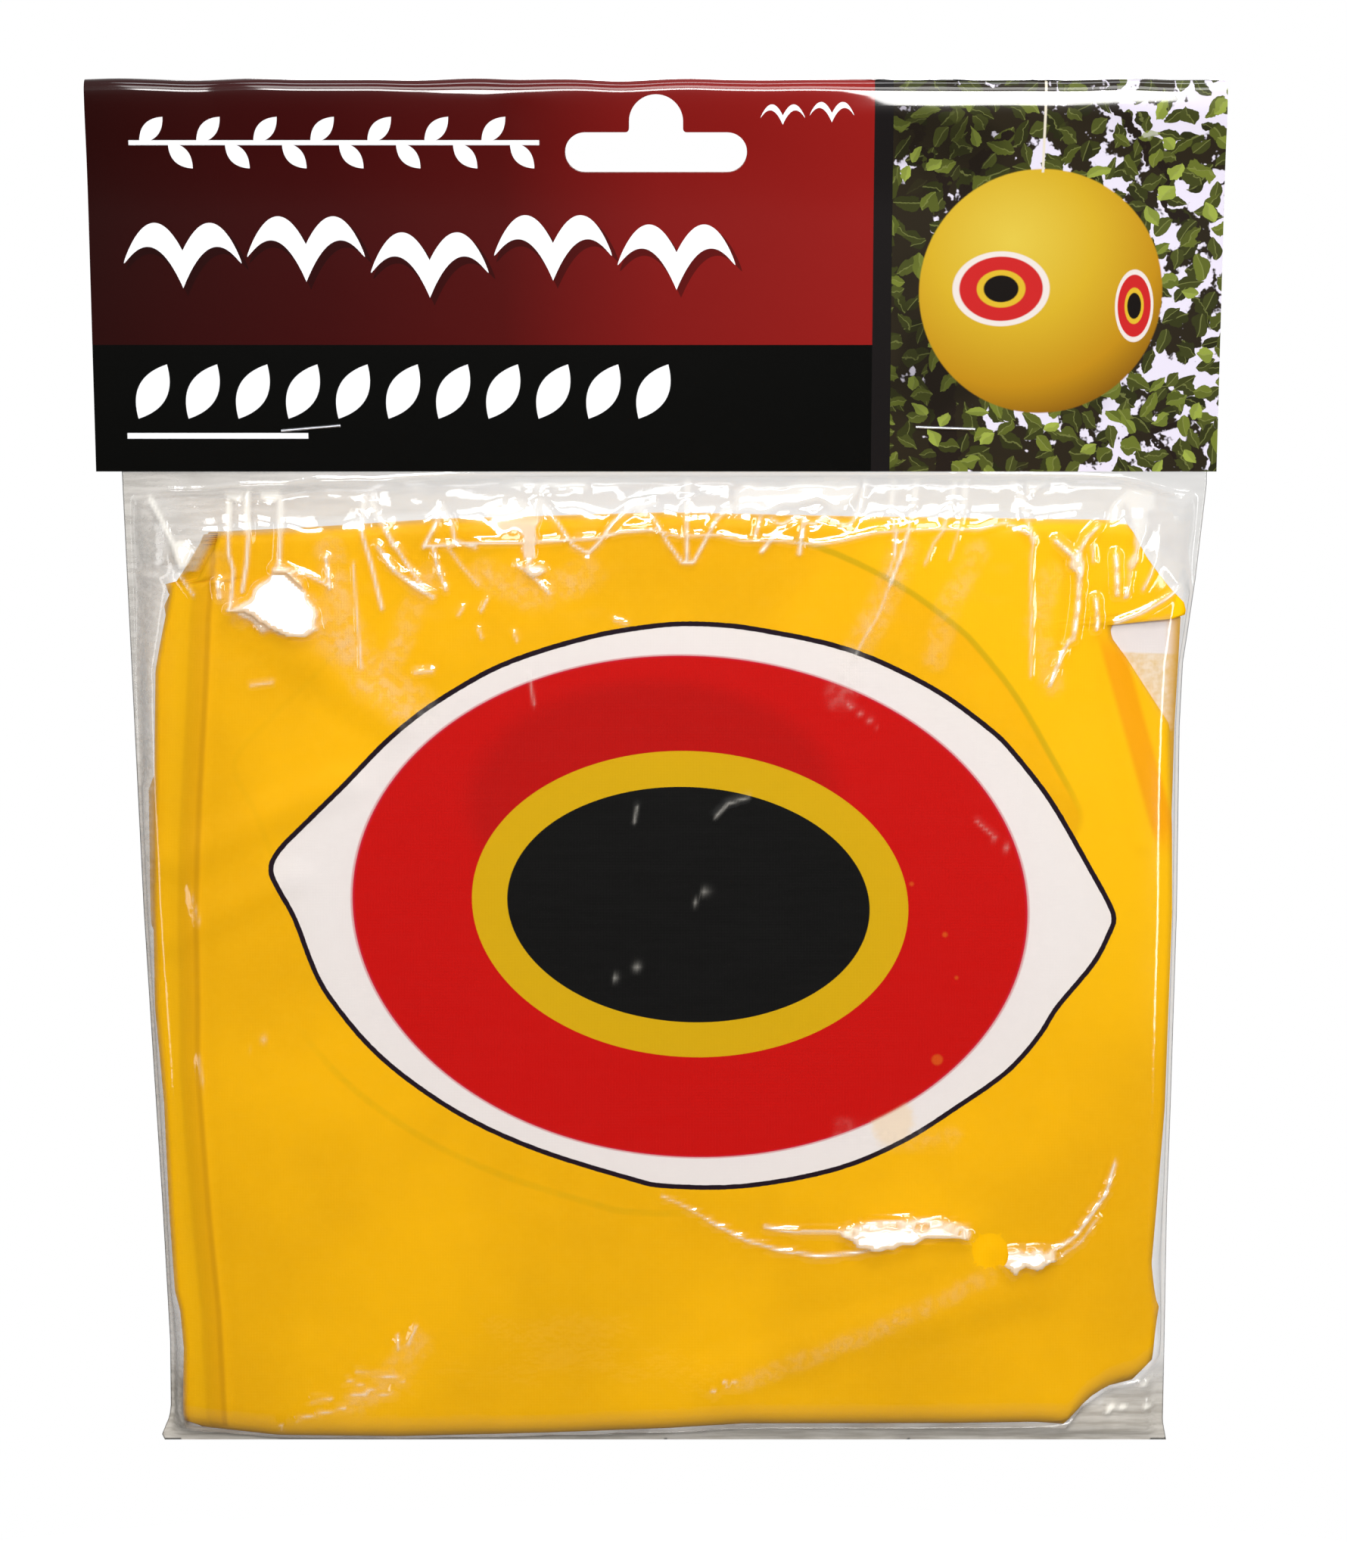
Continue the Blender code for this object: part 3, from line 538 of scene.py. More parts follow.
for name, staple_x, tilt in (("staple_left", -0.0615, -4.9), ("staple_right", 0.0515, 2.0)):
    bpy.ops.object.select_all(action="DESELECT")
    bpy.ops.mesh.primitive_circle_add(vertices=16, radius=0.5, fill_type="NGON", location=(0, 0, 0))
    staple = bpy.context.object
    staple.name = f"{name}_wire"
    staple.scale = (wire_wide, wire_thick, 1)
    staple.rotation_euler = (math.radians(90), 0, math.radians(90))
    bpy.ops.object.transform_apply(location=False, rotation=True, scale=True)
    for corner in staple.data.vertices:
        corner.co += Vector((-half + staple_leg, out, 0))
    bpy.ops.object.mode_set(mode="EDIT")
    bpy.ops.mesh.select_all(action="SELECT")
    moves = (("run", (-flat_leg, 0, 0)), ("turn", (left_turn, back_turn, 0)),
             ("run", (0, -through, 0)), ("turn", (left_turn, front_turn, 0)),
             ("run", (staple_crown - 2 * staple_bend, 0, 0)), ("turn", (right_turn, front_turn, 0)),
             ("run", (0, through, 0)), ("turn", (right_turn, back_turn, 0)),
             ("run", (-flat_leg, 0, 0)))
    for kind, vector in moves:
        if kind == "run":
            bpy.ops.mesh.extrude_region_move(TRANSFORM_OT_translate={"value": vector})
        else:
            bpy.ops.mesh.spin(steps=6, angle=math.radians(90), center=vector, axis=(0, 0, 1))
    bpy.ops.mesh.select_all(action="SELECT")
    bpy.ops.mesh.remove_doubles(threshold=1e-7)
    bpy.ops.mesh.normals_make_consistent(inside=False)
    bpy.ops.object.mode_set(mode="OBJECT")
    staple.location = (staple_x, 0, staple_up)
    staple.rotation_euler = (0, math.radians(tilt), 0)
    bpy.ops.object.transform_apply(location=True, rotation=True, scale=True)
    bpy.ops.object.shade_smooth_by_angle(angle=math.radians(50))
    staple.data.materials.append(steel)
    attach(staple, "header")
    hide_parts(name)

# Balloon: six gores of coated cloth, printed, cut and welded into a ball, then let down and folded
# flat. Each gore is one sheet that runs through every fold of the pile.
pitch = 0.0004
vinyl = 0.00018
gores = 6
slots = 29
shift = 0.0013
gore_long = 0.525
gore_wide = 0.175
flange = 0.005
pile_top = -0.075
equator = pile_top - gore_long * 0.1347
top_bend = -0.07729
bottom_bend = -0.24150
tip_bend = -0.24030
side_tuck = 0.009
tuck_reach = 0.013
over = math.pi * gores * pitch / 2


def gore_route(layer, fine):
    """Depth, height and distance from the equator, down one sheet from its back end to its tip.

    The sheet hangs down the back, turns under the pile, runs up its front, over and down between the
    two, and turns up again into its own tip. Depths are counted in pitches, below zero at the front."""
    under = math.pi * 11 * pitch
    back_end = bottom_bend + gore_long / 2 - (equator - bottom_bend) - under
    tip_end = tip_bend + gore_long / 2 - (top_bend - equator) - (top_bend - tip_bend) - 2 * over
    coarse = max(fine, 0.004)
    rows = []
    span = -gore_long / 2

    def run(depth, from_height, to_height, step):
        nonlocal span
        long = abs(to_height - from_height)
        for share in np.linspace(0, 1, int(long / step) + 1):
            height = from_height + share * (to_height - from_height)
            rows.append((depth * pitch, height, span + share * long))
        span += long

    def turn(middle, radius, height, from_angle, to_angle, steps, long):
        nonlocal span
        for share in np.linspace(0, 1, steps + 1)[1:-1]:
            angle = from_angle + share * (to_angle - from_angle)
            rows.append(((middle + radius * math.cos(angle)) * pitch,
                         height + radius * pitch * math.sin(angle), span + share * long))
        span += long

    run(13 - layer, back_end, bottom_bend, coarse)
    turn(-0.5, 13.5 - layer, bottom_bend, 0, -math.pi, 12, under)
    run(layer + 0.5 - slots / 2, bottom_bend, top_bend, fine)
    turn(-8.5, 5.5 - layer, top_bend, math.pi, 0, 10, over)
    run(-3 - layer, top_bend, tip_bend, coarse)
    turn(-2, layer + 1, tip_bend, -math.pi, 0, 8, over)
    run(layer - 1, tip_bend, tip_end, coarse)
    return np.array(rows)


def lens(span):
    """Half the width of a gore as it was cut, with its weld flanges."""
    share = np.minimum(np.abs(span) / (gore_long / 2), 1)
    fullness = 0.2 + 0.8 * share ** 2
    cut = np.maximum(np.cos(share * math.pi / 2), 0) ** fullness
    tuck = side_tuck * np.maximum(0, 1 - np.abs(span - (top_bend - equator + over / 2)) / tuck_reach)
    return gore_wide / 2 * cut + flange - tuck


def along(table, where):
    """Read a table of (where, value) pairs in millimetres at many places in metres."""
    table = sorted(table)
    return np.interp(where, [a / 1000 for a, _ in table], [b / 1000 for _, b in table])


# Outlines of the bag, of the two front gores and of the pile's foot and top, in millimetres: each pair is
# a height and the place of a side there, or a place across and how far the foot or the top lies higher
bag_left = ((-249.7, -92.6), (-248.6, -93.1), (-245, -91.6), (-242.8, -91.3), (-230.3, -91.1),
            (-204.7, -91.8), (-146.9, -93.8), (-104.7, -94.7), (-85.7, -95.1), (-66.8, -95.5), (-33, -95.6))
bag_right = ((-249.7, 95.7), (-246, 95.0), (-228.6, 94.9), (-203.6, 94.7), (-185.1, 94.9), (-147.6, 95.1),
             (-113, 94.7), (-101.2, 95.0), (-95.8, 95.7), (-85.6, 96.9), (-68.9, 98.4), (-33, 98.4))
front_left = ((-250, -88), (-243.2, -88.6), (-230.5, -88.1), (-223.1, -88.6), (-219.3, -89.5),
              (-203.4, -90.2), (-182.6, -90.6), (-164.4, -91.8), (-146.2, -91.6), (-125.6, -90.9),
              (-102.1, -90.0), (-87.7, -87.2), (-84.3, -86.9), (-83.6, -82.0), (-82.5, -81.4),
              (-76.8, -78.4), (-70, -77.5))
front_right = ((-250, 92), (-230, 93.3), (-226.2, 92.8), (-213.8, 91.7), (-202.3, 92.4), (-183.9, 93.4),
               (-146.6, 93.8), (-131.8, 93.4), (-111.9, 92.4), (-104.8, 87.7), (-99.6, 84.3), (-95.9, 81.5),
               (-93.6, 81.2), (-91.4, 94.2), (-90.4, 94.8), (-88.2, 94.4), (-86, 92.6), (-80.2, 87.5),
               (-76.3, 85.0), (-74.9, 83.4), (-70, 82.0))
under_left = ((-250, -87.5), (-223, -88.2), (-203.4, -89.6), (-164.4, -91.0), (-152, -91.0), (-149, -92.2),
              (-124, -91.9), (-120, -90.2), (-102.1, -89.6), (-87.9, -86.2), (-84.6, -88.6), (-83.8, -81.6),
              (-76.8, -77.8))
under_right = ((-250, 91.5), (-213.8, 91.2), (-183.9, 92.6), (-146.6, 93.2), (-112, 93.4), (-100, 93.8),
               (-91, 94.0), (-86, 91.5), (-76.3, 84.3))
foot_line = ((-94, 1.5), (-87, 0.3), (-71, -1.5), (-49, -1.7), (-20, -0.9), (2, 0.0), (16, 0.9), (55, 0.9),
             (71, 1.1), (76.5, 0.7), (79.9, 5.2), (84.2, 8.2), (89.3, 9.5), (91.6, 11.6), (94.5, 15))
top_line = ((-92, -2.6), (-78, -2.0), (-61, -1.1), (-39, 0.4), (2, 1.6), (34, 0.9), (77, 0.2), (83, 0.0),
            (92, -2.5))


def crown(x):
    """How thick the pile is across its width, as a share of its middle."""
    share = np.minimum(np.abs(x - shift) / 0.0925, 1.05)
    return 1 - 0.325 * share ** 2 - 0.16 * ease((share - 0.90) / 0.12)


def settle(x, z):
    """The pile's top and foot aren't straight: each sheet is pushed up or down with them."""
    rise = along(top_line, x) * ease((z + 0.100) / 0.022)
    lift = along(foot_line, x) * ease((-0.212 - z) / 0.033)
    return z + rise + lift


def stroke(x, z, points, half):
    """1 on a drawn line through points in millimetres, easing to 0 at half its width away."""
    best = np.full(np.shape(x), 1e9)
    for (ax, az), (bx, bz) in zip(points, points[1:]):
        ax, az, bx, bz = mm(ax, az, bx, bz)
        dx, dz = bx - ax, bz - az
        share = np.clip(((x - ax) * dx + (z - az) * dz) / (dx * dx + dz * dz), 0, 1)
        best = np.minimum(best, np.hypot(x - ax - share * dx, z - az - share * dz))
    return ease(1 - best / half)


seam_line = ((-80.9, -82.4), (-82.0, -92), (-82.7, -103.6), (-84.4, -125), (-85.6, -145.5), (-85.7, -164),
             (-86.0, -176.3), (-84.6, -204.4), (-83.2, -223.2), (-82.6, -244))


def lumps(x, z):
    """How far the pile's soft layers push outwards under the front sheet."""
    return 0.00030 + 0.00034 * rough(x, z, 0.052, 3.1) + 0.00016 * rough(x, z, 0.021, 8.4)


flap_high = 0.0011


def cushioning(x, z):
    """The lumps, and the front sheet's own folds, welded seam and pleats."""
    flap = ease((x - 0.0765) / 0.006) * ease((-0.0790 - z) / 0.008) * ease((z + 0.0942) / 0.0016)
    stand = lumps(x, z) + flap_high * flap
    for high, half, points in (
            (0.00045, 0.0055, ((-56.2, -122.5), (-71, -129), (-87, -137.5))),
            (0.00040, 0.0050, ((-66, -140), (-78, -146), (-88, -152))),
            (0.00050, 0.0060, ((-74, -92), (-62, -101), (-47, -111))),
            (0.00045, 0.0070, ((70, -218), (40, -226), (10, -236))),
            (0.00050, 0.0026, seam_line),
            (-0.00030, 0.0022, [(across + 3.4, height) for across, height in seam_line]),
            (-0.0003, 0.0036, ((81.6, -96), (84.2, -106), (87.8, -118), (90.2, -132))),
            (0.0004, 0.0022, ((79.6, -95), (81.9, -106), (85.2, -119), (88.2, -134)))):
        stand += high * stroke(x, z, points, half)
    return stand


eye_line = ((-69.9, -138.5), (-68.4, -135.0), (-63.6, -130.0), (-56.2, -122.6), (-46.1, -112.4),
            (-35.6, -105.0), (-25.6, -99.8), (-11.8, -95.5), (0.0, -93.5), (8.2, -93.2), (18.1, -94.2),
            (34.5, -97.9), (49.1, -104.7), (59.8, -112.4), (64.4, -117.0), (71.2, -125.8), (78.0, -137.4),
            (82.0, -144.6),
            (83.1, -147.6), (82.4, -150.2), (79.5, -156.1), (73.1, -164.2), (69.7, -169.9), (64.0, -176.6),
            (55.3, -183.0), (45.3, -189.5), (33.0, -194.8), (16.3, -198.0), (1.7, -198.0), (-5.4, -196.4),
            (-21.1, -191.3), (-33.7, -185.6), (-44.3, -178.7), (-52.5, -171.5), (-59.5, -162.6),
            (-62.6, -156.6), (-65.6, -148.0), (-68.6, -142.0))


def smooth_loop(points, steps):
    """A closed curve through the points, in metres."""
    loop = []
    count = len(points)
    for i in range(count):
        a, b, c, d = (np.array(points[(i + k) % count]) / 1000 for k in (-1, 0, 1, 2))
        for t in np.arange(steps) / steps:
            loop.append(0.5 * (2 * b + (c - a) * t + (2 * a - 5 * b + 4 * c - d) * t * t
                               + (3 * b - a - 3 * c + d) * t ** 3))
    return np.array(loop)


eye_loop = smooth_loop(eye_line, 4)


def from_loop(loop, x, z):
    """Distance in millimetres from a closed outline, below zero inside it."""
    near = np.full(np.shape(x), 1e9)
    inside = np.zeros(np.shape(x), bool)
    for (ax, az), (bx, bz) in zip(loop, np.roll(loop, -1, axis=0)):
        dx, dz = bx - ax, bz - az
        share = np.clip(((x - ax) * dx + (z - az) * dz) / (dx * dx + dz * dz), 0, 1)
        near = np.minimum(near, np.hypot(x - ax - share * dx, z - az - share * dz))
        crosses = (az > z) != (bz > z)
        inside ^= crosses & (x < dx * (z - az) / (dz if dz else 1e-12) + ax)
    return np.where(inside, -near, near) * 1000


folds_back = -0.0030
left_gap, right_gap = 0.0012, 0.0011


def make_gore(number, layer, fine, columns):
    """One gore as a thin sheet laid through the folds of the pile."""
    route = gore_route(layer, fine)
    gore = new_grid(f"gore_{number}_sheet", columns, len(route) - 1)
    depth, height, span = (route[:, i][:, None] for i in range(3))
    below_bend = (depth < folds_back) & (height < top_bend + 0.00001)
    in_front = below_bend | (depth + 8.5 * pitch < 0) & (height > top_bend)
    wide = lens(span)
    stagger = 0.0004 * (-1) ** layer
    left = shift + stagger - wide
    right = shift + stagger + wide
    if layer == 0:
        left = np.where(in_front, along(front_left, height), left)
        right = np.where(in_front, along(front_right, height), right)
    elif layer == 1:
        left = np.where(in_front, along(under_left, height), left)
        right = np.where(in_front, along(under_right, height), right)
    else:
        inmost = np.minimum(along(under_right, height), along(bag_right, height))
        left = np.where(in_front, along(front_left, height) + 0.0010 * layer, left)
        right = np.where(in_front, inmost - 0.0005 * layer, right)
    left = np.maximum(left, along(bag_left, height) + left_gap)
    right = np.minimum(right, along(bag_right, height) - right_gap)
    share = np.linspace(0, 1, columns + 1)[None, :]
    x = left + (right - left) * share
    z = settle(x, np.repeat(height, columns + 1, axis=1))
    y = depth * crown(x)
    if layer == 0:
        y = y - cushioning(x, z) * ease((folds_back - depth) / 0.0015)
    bend_to(gore, x, y, z)
    return gore


# The lit tone is painted light: a lighter yellow for the upper right of the front gore and the seam's lit
# flank.
print_tones = {
    "yellow": paint(247, 184, 3), "gold": paint(233, 172, 3), "lit": paint(251, 193, 6),
    "seam": paint(208, 150, 4), "show through": paint(140, 142, 12), "white": paint(238, 231, 228),
    "red": paint(197, 12, 8), "ring": paint(212, 168, 12), "pupil": paint(13, 13, 13),
    "line": paint(30, 17, 28),
}


def coated_cloth(name, printed):
    """Coated cloth: soft gloss, a faint weave and uneven dye, with the printed eye, painted light and
    painted shade on the front gore.
    """
    material, start = new_finish(name)
    x, y, z, spot = place_of(start)
    cloud = start.grain(spot, 0.03, 3.0)
    mottle = start.grain(spot, 0.9, 3.0)
    tone = cloud.above(0.5, 0.22).mix(print_tones["gold"], print_tones["yellow"])
    tone = (mottle.above(0.55, 0.25) * 0.10).mix(tone, paint(250, 196, 40))
    if printed == "eye":
        edge = start.noted("eye_edge")
        ghost_high = start.noted("ghost_high")
        ghost_low = start.noted("ghost_low")
        # Painted light: the front gore's yellow above and right of the show-through line is painted lighter.
        lit = ghost_high.above(0.0, 0.8) * (x + z * 0.35).above(10.0, 16.0) * z.above(-165.0, 25.0)
        tone = (lit * 0.8).mix(tone, print_tones["lit"])
        shown = x.above(26.0, 8.0) * z.above(-124.0, 6.0) * 0.36 + 0.04
        tone = ((0.54 - abs(ghost_high)).above(0.0, 0.30) * shown).mix(tone, print_tones["show through"])
        shown = x.between(-62.0, 4.0, 6.0) * z.below(-165.0, 8.0) * (mottle + 0.1) * 0.20
        tone = ((0.62 - abs(ghost_low)).above(0.0, 0.30) * shown).mix(tone, print_tones["show through"])
        seam = start.noted("seam_edge")
        tone = (seam.between(-1.5, 1.3, 0.5) * 0.55).mix(tone, print_tones["seam"])
        # Painted highlight along the raised seam's left flank, and painted shade in the groove to its right.
        tone = ((1.9 - abs(seam + 2.6)).above(0.0, 1.2) * 0.22).mix(tone, print_tones["lit"])
        tone = ((0.5 - abs(seam - 1.8)).above(0.0, 0.4) * 0.5).mix(tone, paint(176, 120, 2))
        # Painted shade: a deeper orange strip down the right, where the pleat's fold lies in shadow.
        pleat_painted_shade = (x - 83.6 + (z + 104) * 0.30) / 2.6
        pleat_painted_shade = (1 - pleat_painted_shade * pleat_painted_shade).above(0.3, 0.4) * z.between(-134, -96, 4.0) * y.below(-3.4, 0.2)
        tone = (pleat_painted_shade * 0.55).mix(tone, paint(236, 138, 2))
        lean = math.radians(3.4)
        shapes = []
        for centre_x, centre_z, wide, high in (
                (6.1, -145.7, 61.3, 46.7), (6.1, -144.9, 39.6, 28.5), (5.8, -144.9, 32.9, 21.9)):
            over = ((x - centre_x) * math.cos(lean) - (z - centre_z) * math.sin(lean)) / wide
            up = ((z - centre_z) * math.cos(lean) + (x - centre_x) * math.sin(lean)) / high
            shapes.append((over * over + up * up) ** 0.5)
        ball, ring, pupil = shapes
        threads = start.grain(start.stretch(spot, (0.5, 1, 5.0)), 1.0, 4.0)
        white = (threads * 0.5).mix(print_tones["white"], paint(222, 214, 212))
        inner = ball.below(1.0, 0.0016).mix(white, print_tones["red"])
        fringe = (0.006 - abs(ball - 1.0)).above(0.0, 0.003)
        inner = (fringe * 0.55).mix(inner, paint(196, 34, 60))
        back_eye = (((x + 0.5) / 33.4) ** 2 + ((z + 126.2) / 22.6) ** 2) ** 0.5
        inner = (back_eye.below(1.0, 0.10) * ball.below(1.0, 0.01) * 0.42).mix(inner, paint(160, 14, 10))
        inner = ring.below(1.0, 0.0025).mix(inner, print_tones["ring"])
        inner = pupil.below(1.0, 0.003).mix(inner, print_tones["pupil"])
        for speck_x, speck_z, speck_wide in (
                (51.3, -174.1, 1.0), (46.2, -141.0, 0.35), (52.4, -150.5, 0.45), (54.6, -158.6, 0.3)):
            far = ((x - speck_x) ** 2 + (z - speck_z) ** 2) ** 0.5
            inner = (far.below(speck_wide, 0.3) * 0.7).mix(inner, paint(214, 92, 24))
        stain = (((x - 43.2) / 3.8) ** 2 + ((z + 185.6) / 5.0) ** 2) ** 0.5 + (mottle - 0.5) * 0.5
        inner = (stain.below(1.0, 0.25) * 0.45 * ball.above(1.0, 0.01)).mix(inner, paint(240, 206, 150))
        tone = edge.below(0.0, 0.06).mix(tone, inner)
        ink = (0.46 + (mottle - 0.5) * 0.16 - abs(edge)).above(0.0, 0.07)
        tone = ink.mix(tone, print_tones["line"])
    elif printed == "under":
        in_front = y.below(-3.0, 0.2)
        patch = x.above(78, 0.5) * z.between(-113, -93, 0.5) * in_front
        cream = mottle.above(0.5, 0.3).mix(paint(240, 206, 150), paint(250, 232, 208))
        other = (z + (x - 80) * 0.06).above(-98.4, 0.25).mix(cream, paint(244, 236, 236))
        tone = patch.mix(tone, other)
        left_edge = x.below(-89.0, 0.3) * z.between(-151, -123.5, 0.4) * in_front
        tone = left_edge.mix(tone, print_tones["white"])
        tick = (0.7 - abs(z + 123.4 - (x + 91) * 0.9)).above(0.0, 0.15) * x.below(-88.0, 0.3) * in_front
        tone = tick.mix(tone, print_tones["line"])
    weave_x, weave_z = (
        start.node("ShaderNodeTexWave", {"bands_direction": way},
                   {"Vector": spot, "Scale": 1.1, "Distortion": 1.0})
        for way in "XZ")
    creases = start.node("ShaderNodeTexNoise", {"noise_type": "RIDGED_MULTIFRACTAL"},
                         {"Vector": spot, "Scale": 0.07, "Detail": 3.0})
    height = (weave_x + weave_z) * 0.012 + mottle * 0.03 + creases * 0.06
    bump = start.node("ShaderNodeBump", sockets={"Height": height, "Strength": 0.5, "Distance": 0.001})
    surface(start, {"Base Color": tone, "Roughness": 0.40 + mottle * 0.14, "Normal": bump,
                    "Specular IOR Level": 0.06})
    return material


plain_cloth = coated_cloth("yellow coated cloth", None)
eye_cloth = coated_cloth("coated cloth with printed eye", "eye")
under_cloth = coated_cloth("coated cloth under the front gore", "under")
spans = np.linspace(-gore_long / 2, gore_long / 2, 400)
gore_area = float(np.sum(2 * lens(spans)) * (spans[1] - spans[0]))
for layer, number in enumerate((1, 2, 3, 6, 5, 4)):
    if layer == 0:
        gore = make_gore(number, layer, 0.0009, 150)
        across, depth, height = places_in(gore).T
        far_off = (depth > folds_back - 0.0002) * 100.0
        seam_across = along([(height_there, place) for place, height_there in seam_line], height)
        note(gore, "eye_edge", from_loop(eye_loop, across, height) + far_off)
        note(gore, "seam_edge", (across - seam_across) * 1000 + far_off)
        note(gore, "ghost_high", from_loop(eye_loop, across + 0.0063, height - 0.0188) + far_off)
        note(gore, "ghost_low", from_loop(eye_loop, across + 0.0063, height + 0.0050) + far_off)
    else:
        gore = make_gore(number, layer, 0.0035 if layer > 1 else 0.0018, 40 if layer > 1 else 90)
    cloth = gore.modifiers.new("cloth", "SOLIDIFY")
    cloth.thickness = vinyl
    cloth.offset = 0
    apply_all(gore)
    gore.data.materials.append(eye_cloth if layer == 0 else under_cloth if layer == 1 else plain_cloth)
    gore.data.shade_smooth()
    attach(gore, "pouch")
    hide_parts(f"balloon_gore_{number}")

# Tabs, valve and eyelets: welded vinyl patches over the gore tips with rolled brass eyelets, and a
# moulded valve with its plug. They lie hidden in the pile and keep the meshes they were made with.
brass, start = new_finish("rolled brass")
worn = start.grain(place_of(start)[3], 1.4, 4.0)
surface(start, {"Base Color": worn.mix(paint(196, 154, 84), paint(226, 190, 122)), "Metallic": 1.0,
                "Roughness": 0.2 + worn * 0.2})
for name, finish in (("top_tab", plain_cloth), ("bottom_tab", plain_cloth), ("valve_collar", plain_cloth),
                     ("valve_plug", plain_cloth), ("top_tab_eyelet", brass), ("bottom_tab_eyelet", brass)):
    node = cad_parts[name]
    node.data.materials.clear()
    node.data.materials.append(finish)

# Clear bag: one length of thin film, folded at the foot and welded up both sides, with a punched vent.
# Its mouth is stapled into the card, and the film is drawn tight over the shoulders of the pile.
film_top = -0.0335
film_foot = -0.2497
bag_half = 0.0064
film_half = 0.00008
swell_start = -0.0678
pocket_foot = -0.2477
pile_foot = -0.2474
front_columns = 360
back_columns = 44
weld_steps = np.array(mm(0, 0.35, 0.7, 0.9, 1.05, 1.25, 1.6, 2.1, 2.8))
front_shares = np.linspace(0, 1, front_columns + 1 - 2 * len(weld_steps) + 2)[1:-1]
back_shares = np.linspace(0, 1, back_columns + 1 - 2 * len(weld_steps) + 2)[1:-1]
rows = [film_foot]
for start_height, end_height, step in (
        (film_foot, -0.2481, 0.00055), (-0.2481, -0.2140, 0.0009), (-0.2140, -0.1960, 0.0006),
        (-0.1960, -0.1320, 0.0020), (-0.1320, -0.1220, 0.0007), (-0.1220, -0.1080, 0.0013),
        (-0.1080, -0.0668, 0.0005), (-0.0668, film_top, 0.0080)):
    count = round((end_height - start_height) / step)
    rows += list(start_height + (end_height - start_height) * np.arange(1, count + 1) / count)
rows = np.array(rows)
bag = new_grid("clear_bag", front_columns + back_columns, len(rows) - 1)
ring_x, ring_edge, ring_side = [], [], []
for height in rows:
    left, right = float(along(bag_left, height)), float(along(bag_right, height))
    near_left, near_right = left + weld_steps, (right - weld_steps)[::-1]
    low, high = near_left[-1], near_right[0]
    front_x = np.concatenate([near_left, low + (high - low) * front_shares, near_right])
    back_x = np.concatenate([near_left, low + (high - low) * back_shares, near_right])[::-1][1:]
    line = np.concatenate([front_x, back_x])
    ring_x.append(line)
    ring_edge.append(np.minimum(line - left, right - line))
    ring_side.append(np.concatenate([-np.ones(len(front_x)), np.ones(len(back_x))]))
ring_x, ring_edge, ring_side = (np.array(part) for part in (ring_x, ring_edge, ring_side))
ring_z = np.repeat(rows[:, None], ring_x.shape[1], axis=1)
local_top = along(top_line, ring_x)
drop = swell_start - (ring_z - local_top)
wavy = drop + 0.0009 * (1 + rough(ring_x, ring_z, 0.011, 17.0))
wavy += 0.0004 * (1 + rough(ring_x, ring_z, 0.0042, 19.0))
below_card = ease((card_foot - 0.0002 - ring_z) / 0.0014)
shoulder = bag_half * (1 - np.exp(-(np.maximum(wavy, 0) / 0.0046) ** 1.7)) * below_card
lift = ring_z - film_foot
climb = np.clip((ring_z - pocket_foot - along(foot_line, ring_x)) / bag_half, 0, 1)
foot = 0.03 * ease(lift / 0.001) + 0.97 * np.sin(climb * math.pi / 2) ** 0.58
room_left = np.minimum(along(front_left, ring_z), along(under_left, ring_z)) - along(bag_left, ring_z)
room_right = along(bag_right, ring_z) - np.maximum(along(front_right, ring_z), along(under_right, ring_z))
room = np.where(ring_x < shift, room_left, room_right)
side = 0.02 + 0.98 * ease((ring_edge - 0.0005) / np.clip(room - 0.0013, 0.0009, 0.0075))
body = np.minimum(shoulder, bag_half * foot) * side * crown(ring_x)
body = np.maximum(body, film_half) * (ring_edge > 1e-6) * (lift > 1e-6)
stand = np.zeros_like(body)
